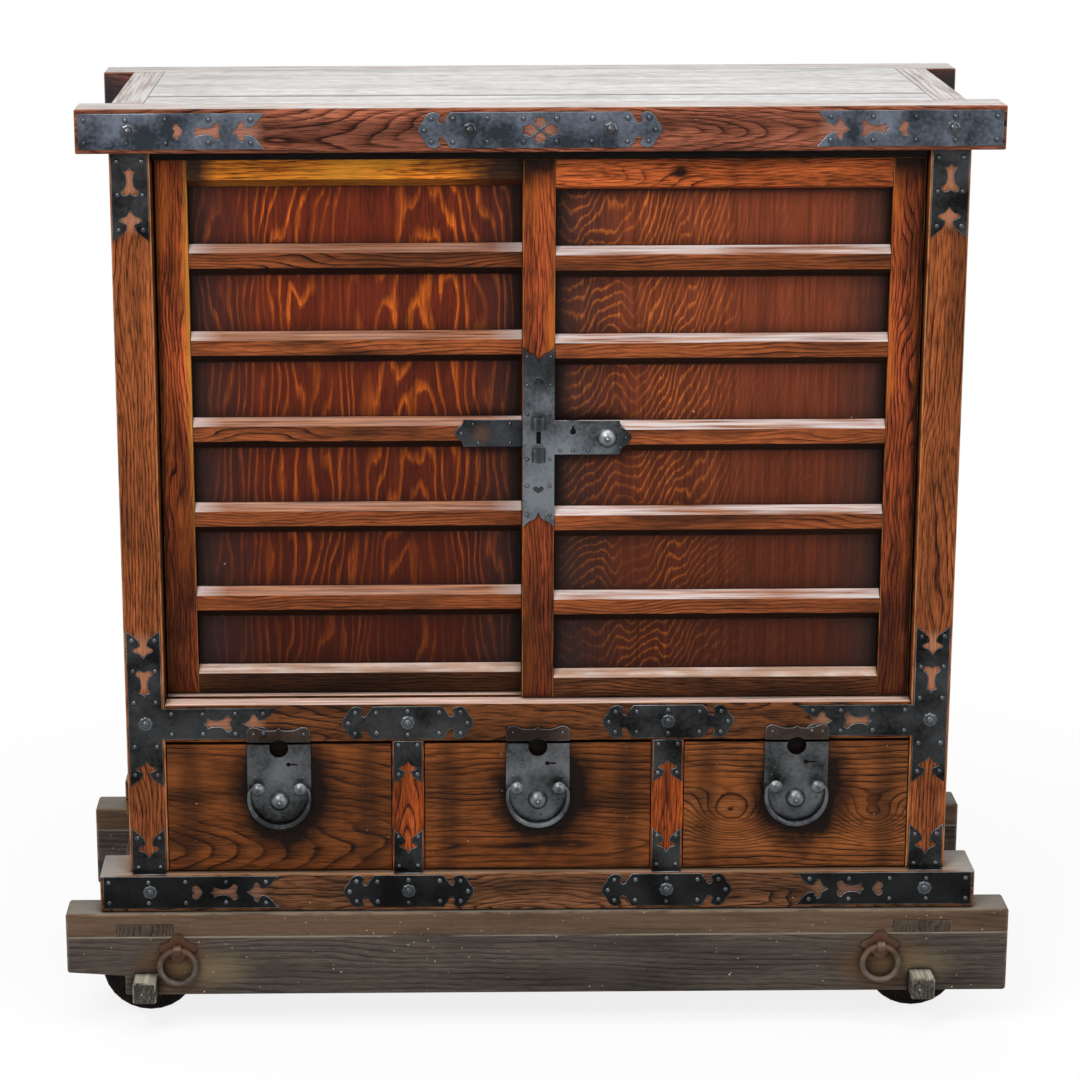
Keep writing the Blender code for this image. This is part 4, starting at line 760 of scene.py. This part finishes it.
def joined_runs(runs):
    """One line of points from smooth runs that meet in cusps."""
    line = []
    for run in runs:
        line += through(run)[:-1] if len(run) > 2 else run[:-1]
    return [*line, runs[-1][-1]]


# Half of each end, from the middle line outwards: distance in from the tip, and half width
FISHTAIL = [(1.0, 0.0), (0.90, 0.12), (0.803, 0.274), (0.763, 0.504), (0.68, 0.615), (0.597, 0.367)]
FISHTAIL_TIP = [(0.533, 0.21), (0.37, 0.29), (0.26, 0.46), (0.114, 0.783), (0.0, 1.0)]
TREFOIL = [
    [(0, 0), (0.8, 3.6), (2.6, 7), (5, 9.5), (6.7, 11.5)],
    [(6.7, 11.5), (9, 17), (14, 21.5), (20, 22.5), (26, 20), (27.5, 17.7)],
    [(27.5, 17.7), (25.5, 14), (26, 10), (28.5, 8), (32, 9.5), (33.6, 12.8)],
    [(33.6, 12.8), (40.5, 22.5)],
]
BONE = [(-3, 0), (0, 2.6), (1.6, 7), (4, 5.4), (13, 4), (22, 6), (27, 11), (31.5, 9), (32, 5), (29.5, 0)]
HEART = [(0, 0), (-2.6, 3), (-2.2, 7.2), (2, 9.6), (6, 7), (10.5, 0)]


def fishtail(reach, half):
    line = FISHTAIL + FISHTAIL_TIP
    return [(d * reach, h * half) for d, h in through(line, 3)]


def trefoil(half):
    scale = half / 22.5
    return [(d * scale, h * scale) for d, h in joined_runs(TREFOIL)]


def strap(length, half, near=None, far=None):
    """Outline of a strap from s = 0 to its length, square where an end has no profile."""
    near = near or [(0.0, half)]
    far = far or [(0.0, half)]
    outline = [(length - d, -h) for d, h in reversed(far)]
    outline += [(length - d, h) for d, h in far if h]
    outline += [(d, h) for d, h in reversed(near)]
    outline += [(d, -h) for d, h in near if h]
    return outline


def hole(profile, s, turned=False, scale=1.0):
    """A pierced shape from half of its outline, which starts at s and runs along the strap or back."""
    way = -scale if turned else scale
    upper = through(profile, 3)
    lower = [(d, -h) for d, h in reversed(upper[1:-1])]
    return [(s + way * d, scale * h) for d, h in upper + lower]


def dome(shape, s, t, radius, height, base, rings, sides, petals=0):
    """A forged head in mm, made of rings from its foot to its crown. Petals scallop its rim."""
    circles = []
    for k in range(rings):
        lift = k / rings * math.pi / 2
        circle = []
        for i in range(sides):
            turn = i / sides * math.tau
            spread = radius * math.cos(lift) * (1 + (0.045 * math.cos(petals * turn) if petals else 0))
            up = base - 0.2 + (height + 0.2) * math.sin(lift)
            spot = (s + spread * math.cos(turn), t + spread * math.sin(turn), up)
            circle.append(shape.verts.new([c * MM for c in spot]))
        circles.append(circle)
    crown = shape.verts.new([c * MM for c in (s, t, base + height)])
    made = []
    for low, high in zip(circles, circles[1:]):
        for i in range(sides):
            made.append(shape.faces.new((low[i - 1], low[i], high[i], high[i - 1])))
    for i in range(sides):
        made.append(shape.faces.new((circles[-1][i - 1], circles[-1][i], crown)))
    for face in made:
        face.smooth = True
        face.material_index = 2


def flat_plate(loops, thick=PLATE):
    """Mesh of a plate with its holes: the first loop is the outline, in mm."""
    rim = min(0.3, thick / 4)
    drawing = bpy.data.curves.new("drawing", "CURVE")
    drawing.dimensions = "2D"
    drawing.fill_mode = "BOTH"
    drawing.extrude = (thick / 2 - rim) * MM
    drawing.bevel_depth = rim * MM
    drawing.bevel_resolution = 1
    drawing.offset = -rim * MM
    for loop in loops:
        line = drawing.splines.new("POLY")
        line.points.add(len(loop) - 1)
        for point, (s, t) in zip(line.points, loop):
            point.co = (s * MM, t * MM, 0.0, 1.0)
        line.use_cyclic_u = True
    holder = bpy.data.objects.new("drawing", drawing)
    scene.collection.objects.link(holder)
    depsgraph = bpy.context.evaluated_depsgraph_get()
    mesh = bpy.data.meshes.new_from_object(holder.evaluated_get(depsgraph))
    bpy.data.objects.remove(holder)
    bpy.data.curves.remove(drawing)
    return mesh


def ironwork(name, body, lay, loops, nails=(), bosses=(), thick=PLATE, finish=black_iron, nail_mm=3.7):
    """A plate with its nails and bosses as one piece, laid on its face by a matrix."""
    mesh = flat_plate(loops, thick) if loops else bpy.data.meshes.new(name)
    shape = bmesh.new()
    shape.from_mesh(mesh)
    bmesh.ops.translate(shape, verts=shape.verts, vec=(0, 0, thick / 2 * MM))
    shape.normal_update()
    for face in shape.faces:
        face.material_index = 0 if face.normal.z > 0.95 else 1
    for s, t in nails:
        wide = nail_mm * chance.uniform(0.9, 1.12)
        off_s, off_t = chance.uniform(-0.4, 0.4), chance.uniform(-0.4, 0.4)
        dome(shape, s + off_s, t + off_t, wide, 0.85 * wide, thick, 4, 14)
    for s, t in bosses:
        dome(shape, s, t, 9.6, 2.2, thick, 5, 48, petals=8)
        dome(shape, s, t, 5.6, 3.2, thick + 1.8, 5, 20)
        dome(shape, s, t, 2.2, 1.4, thick + 4.8, 3, 12)
    shape.transform(lay)
    shape.to_mesh(mesh)
    shape.free()
    for material in (finish, cut_iron, nail_iron):
        mesh.materials.append(material)
    piece = bpy.data.objects.new(name, mesh)
    mesh.name = name
    scene.collection.objects.link(piece)
    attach(piece, body)


def laid(x, y, z, turn_degrees=0):
    """Matrix that lays a plate on a front face. At no turn, s runs to the right and t up."""
    turn = math.radians(turn_degrees)
    along = Vector((math.cos(turn), 0, math.sin(turn)))
    out = Vector((0, -1, 0))
    across = out.cross(along)
    rotation = Matrix((along, across, out)).transposed()
    return Matrix.Translation((x, y, z)) @ rotation.to_4x4()


def laid_flat(x, y, z):
    return Matrix.Translation((x, y, z))


def pairs(places, half):
    return [(s, t) for s in places for t in (-half, half)]


RAIL_NAILS = 14.5
CORNER_HALF = 22.3
CORNER_INSET = 4.5
corner_loops = [strap(233, CORNER_HALF, far=fishtail(42, CORNER_HALF)), hole(HEART, 121), hole(BONE, 146)]
corner_nails = pairs((7.5, 60, 109, 163, 216), RAIL_NAILS)
corner_boss = [(62, 0)]
corner_places = (
    ("top", TOP_END, TOP_FACE, TOP_MIDDLE, top_iron),
    ("base", BASE_END, BASE_FACE, BASE_LINE, foot_iron),
)
for side, sign, turn in (("left", -1, 0), ("right", 1, 180)):
    for level, end, face, line, finish in corner_places:
        place = laid(sign * (end - CORNER_INSET * MM), face, line, turn)
        name = f"{level}_corner_strap_{side}"
        ironwork(name, "chest", place, corner_loops, corner_nails, corner_boss, finish=finish)

# The strap in the middle of the top has a pierced flower of four petals
FLOWER_LONG = [(2, 0), (7, 4.2), (13, 8.2), (18, 5.2), (20.5, 5.6), (22.5, 3), (21, 0)]
FLOWER_SHORT = [(2, 0), (5, 4.4), (9.5, 8.4), (13, 5.4), (15, 5.6), (16.3, 3), (15, 0)]
TOP_STRAP = 304.6
TOP_STRAP_START = -0.1532
HEART_OF_FLOWER = TOP_STRAP / 2
petals = [hole(FLOWER_LONG, HEART_OF_FLOWER, turned) for turned in (False, True)]
for turned in (False, True):
    petals.append([(HEART_OF_FLOWER + t, s) for s, t in hole(FLOWER_SHORT, 0.0, turned)])
ironwork(
    "top_centre_strap", "chest", laid(TOP_STRAP_START, TOP_FACE, TOP_MIDDLE),
    [strap(TOP_STRAP, CORNER_HALF, trefoil(CORNER_HALF), trefoil(CORNER_HALF)), *petals],
    [(7.5, 0), (297, 0), *pairs((16.5, 43, 86, 131.5, 173, 217.5, 261.5, 288), RAIL_NAILS)],
    [(64, 0), (240.5, 0)], finish=top_iron,
)

CENTRE_STRAP = 173
centre_loops = [strap(CENTRE_STRAP, 22.5, trefoil(22.5), trefoil(22.5))]
centre_nails = [(8, 0), (165, 0), *pairs((17.3, 45, 128, 155.7), 14.2), *pairs((CENTRE_STRAP / 2,), 16)]
centre_places = (("middle", FRONT, MIDDLE_LINE, black_iron), ("base", BASE_FACE, BASE_LINE, foot_iron))

# Plates at the ends of the posts and dividers: where they start, their turn, their loops and their nails
POST_HEAD = [strap(113, 23, far=fishtail(40, 23)), hole(BONE, 22)]
POST_FOOT_PLATE = [strap(62, 22, far=fishtail(42, 22))]
DIVIDER_HEAD = [strap(59, 19, far=fishtail(31, 19))]
DIVIDER_FOOT = [strap(58, 19, far=fishtail(33, 19))]
end_plates = (
    ("post_head", POST_X, POST_TOP, -90, POST_HEAD, pairs((10.4, 53.5, 97.7), 15.5)),
    ("post_foot", POST_X, POST_FOOT, 90, POST_FOOT_PLATE, pairs((7, 48), 14.5)),
    ("divider_head", DIVIDER_X, MIDDLE_LOW, -90, DIVIDER_HEAD, pairs((5.3, 45.6), 12.5)),
    ("divider_foot", DIVIDER_X, POST_FOOT, 90, DIVIDER_FOOT, pairs((7, 48), 12.5)),
)

# Treads in front of the posts and dividers are narrow strips on the base rail
TREAD = 11.5

# Tee irons lie on a post, from their foot up, with an arm along the middle rail
TEE_FOOT = 0.3378
TEE_LENGTH = 215.5
TEE_HALF = 22
ARM_LENGTH = 151.5
ARM_HALF = 21
ARM_AT = (MIDDLE_LINE - TEE_FOOT) / MM
arm_end = [(ARM_LENGTH - d, h) for d, h in fishtail(44.5, ARM_HALF)]
tee = strap(TEE_LENGTH, TEE_HALF, fishtail(35.4, TEE_HALF), fishtail(38.7, TEE_HALF))
tee += [(ARM_AT - ARM_HALF, -TEE_HALF)]
tee += [(ARM_AT - q, -TEE_HALF - p) for p, q in reversed(arm_end)]
tee += [(ARM_AT + q, -TEE_HALF - p) for p, q in arm_end]
tee += [(ARM_AT + ARM_HALF, -TEE_HALF)]
arm_bone = [(ARM_AT + t, -TEE_HALF - s) for s, t in hole(BONE, 58.9)]
tee_loops = (tee, arm_bone, hole(BONE, TEE_LENGTH - 87))
tee_nails = pairs((16.5, 55.5, TEE_LENGTH - 98.3, TEE_LENGTH - 55, TEE_LENGTH - 13.7), RAIL_NAILS)
tee_nails += [(ARM_AT + t, -TEE_HALF - s) for s, t in pairs((12, 53.8, 96, 133), 14)]

for side, sign in (("left", -1), ("right", 1)):
    for level, face, line, finish in centre_places:
        place = laid(sign * DIVIDER_X - CENTRE_STRAP / 2 * MM, face, line)
        name = f"{level}_centre_strap_{side}"
        ironwork(name, "chest", place, centre_loops, centre_nails, [(CENTRE_STRAP / 2, 0)], finish=finish)
    for end, x, start, turn, loops, nails in end_plates:
        ironwork(f"{end}_plate_{side}", "chest", laid(sign * x, FRONT, start, turn), loops, nails)
    for base, x, half in (("post", POST_X, 22), ("divider", DIVIDER_X, 19)):
        tread = [(-half, -TREAD), (half, -TREAD), (half, 0), (-half, 0)]
        ironwork(f"{base}_foot_tread_{side}", "chest", laid_flat(sign * x, FRONT, BASE_TOP), [tread])
    ironwork(
        f"tee_iron_{side}", "chest", laid(sign * POST_X, FRONT, TEE_FOOT, 90),
        [[(s, -sign * t) for s, t in loop] for loop in tee_loops], [(s, -sign * t) for s, t in tee_nails],
        [(ARM_AT, 0)],
    )

# Strike plates over the drawer locks, with an arch over each finger hole
STRIKE_HALF = 41.5
STRIKE = [(-STRIKE_HALF, 11), (-40.5, 16.5), (-36, 19.8), (-30, 20), (-24, 17.6), (-16, 15.6), (-8, 15.8)]
STRIKE_CUSP = [(-8, 15.8), (-4, 16.2), (-2, 17.4), (0, 19.4)]
ARCH = 12.8
rise = (MIDDLE_LOW - FINGER_HOLE) / MM
lean = math.acos(rise / ARCH)
arch = [(-ARCH * math.sin(lean * f), ARCH * math.cos(lean * f) - rise) for f in (0, 0.25, 0.5, 0.75, 1)]
half_outline = arch + [(-STRIKE_HALF, 0)] + through(STRIKE, 3)[:-1] + through(STRIKE_CUSP, 3)
strike_outline = half_outline + [(-s, t) for s, t in reversed(half_outline[1:-1])]
STRIKE_NAILS = [(-33, 11.5), (33, 11.5)]
for drawer, x in DRAWERS.items():
    ironwork(
        f"strike_plate_{drawer}", "chest", laid(x, FRONT, MIDDLE_LOW), [strike_outline], STRIKE_NAILS,
        thick=2.3, nail_mm=2.6, finish=strike_iron,
    )

# Nails of the drawer locks, and nails and hearts of the lock across the doors
DRAWER_LOCK_FACE = -0.2173
DOOR_LOCK_FACE = -0.1963
CATCH_FACE = -0.1678
LOCK_NAILS = [(-33, 96), (33, 96), (-20, 76), (-32, 63), (32, 62), (-29, 32), (27, 31), (4, 9)]
for drawer, x in DRAWERS.items():
    place = laid(x, DRAWER_LOCK_FACE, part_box(f"drawer_{drawer}_lock_plate")[0][2])
    ironwork(f"drawer_{drawer}_lock_nails", f"{drawer}_drawer", place, [], LOCK_NAILS, thick=0, nail_mm=2.0)

upper_heart = [(t, 73 + s) for s, t in hole(HEART, 0, scale=0.75)]
lower_heart = [(t, -66 - s) for s, t in hole(HEART, 0, scale=0.75)]
door_nails = [(t, z) for z in (107, 70, 31.5, -28.5, -64, -103) for t in (-15, 15)]
door_nails += [(28, -16), (45, -17), (64, -16.5), (106, 13), (106, -13), (113, 0)]
ironwork(
    "door_lock_nails", "right_door", laid(0.0, DOOR_LOCK_FACE, LOCK_LEVEL), [upper_heart, lower_heart],
    door_nails, thick=0.5, nail_mm=2.5,
)
catch_nails = [(-99, 0), (-85, 12), (-36, 13), (-36, -13), (-77, -13)]
place = laid(0.0, CATCH_FACE, LOCK_LEVEL)
ironwork("door_catch_nails", "left_door", place, [], catch_nails, thick=0, nail_mm=2.6)


# Studio: pale floor, white surroundings, and soft light from the front left, the right and above
def soft_light(name, place, aim, size, watts):
    lamp = bpy.data.lights.new(name, "AREA")
    lamp.shape = "RECTANGLE"
    lamp.size, lamp.size_y = size
    lamp.energy = watts
    holder = bpy.data.objects.new(name, lamp)
    holder.location = place
    holder.rotation_euler = (Vector(aim) - Vector(place)).to_track_quat("-Z", "Y").to_euler()
    scene.collection.objects.link(holder)


def seen_directly(tree):
    """One for camera, glossy and transmitted rays, and nothing for the light that falls on the object."""
    path = add(tree, "ShaderNodeLightPath", out=None).outputs
    rays = {0: path["Is Camera Ray"], 1: path["Is Glossy Ray"]}
    seen = add(tree, "ShaderNodeMath", rays, operation="MAXIMUM")
    return add(tree, "ShaderNodeMath", {0: seen, 1: path["Is Transmission Ray"]}, operation="MAXIMUM")


WHITE = (1, 1, 1, 1)
world = bpy.data.worlds.new("white_studio")
world.use_nodes = True
scene.world = world
tree = world.node_tree
strength = add(tree, "ShaderNodeMapRange", {0: seen_directly(tree), 3: 0.4, 4: 1.0})
feed(tree, tree.nodes["Background"], {"Strength": strength, "Color": WHITE})

# Painted studio floor: pale and matt, with the object's soft shadow
floor_paint, tree, shader = new_material("white_floor_paint")
feed(tree, shader, {"Base Color": colour("#f4f4f2"), "Roughness": 0.9, "Specular IOR Level": 0.0})
white = add(tree, "ShaderNodeEmission", {"Color": WHITE})
spot = add(tree, "ShaderNodeTexCoord", out="Object")
away = add(tree, "ShaderNodeVectorMath", {0: spot}, "Value", operation="LENGTH")
bright = add(tree, "ShaderNodeMapRange", {0: away, 1: 0.5, 2: 1.6, 3: 0.84, 4: 1.0})
share = add(tree, "ShaderNodeMath", {0: seen_directly(tree), 1: bright}, operation="MULTIPLY")
painted = add(tree, "ShaderNodeMixShader", {0: share, 1: shader.outputs[0], 2: white})
feed(tree, tree.nodes["Material Output"], {"Surface": painted})
floor_mesh = bpy.data.meshes.new("floor")
floor_mesh.from_pydata([(-40, -40, 0), (40, -40, 0), (40, 40, 0), (-40, 40, 0)], [], [(0, 1, 2, 3)])
floor_mesh.materials.append(floor_paint)
floor = bpy.data.objects.new("floor", floor_mesh)
scene.collection.objects.link(floor)

MIDDLE = (0, 0, 0.62)
soft_light("key_light", (-1.4, -2.5, 2.9), MIDDLE, (1.6, 1.2), 72)
soft_light("fill_light", (2.4, -2.9, 2.1), MIDDLE, (2.0, 1.8), 32)
soft_light("overhead_light", (0, -0.9, 3.1), (0, -0.15, 0.8), (2.6, 1.0), 34)
soft_light("back_light", (0.5, 3.2, 2.6), MIDDLE, (2.4, 1.6), 30)

# Camera of the photo: its place, and its yaw, pitch and roll in degrees
CAMERA_PLACE = (-0.1513, -4.1761, 1.7379)
CAMERA_TURNS = (-0.337, -15.045, 0.228)
camera_data = bpy.data.cameras.new("camera")
camera_data.sensor_width = 36.0
camera_data.lens = 105.49
camera_data.shift_x = 0.0926
camera = bpy.data.objects.new("camera", camera_data)
yaw, pitch, roll = (math.radians(angle) for angle in CAMERA_TURNS)
aim = Matrix.Rotation(yaw, 3, "Z") @ Matrix.Rotation(pitch, 3, "X") @ Matrix.Rotation(roll, 3, "Y")
aim = aim @ Matrix.Rotation(math.pi / 2, 3, "X")
camera.matrix_world = Matrix.Translation(CAMERA_PLACE) @ aim.to_4x4()
scene.collection.objects.link(camera)
scene.camera = camera
scene.view_settings.view_transform = "Standard"
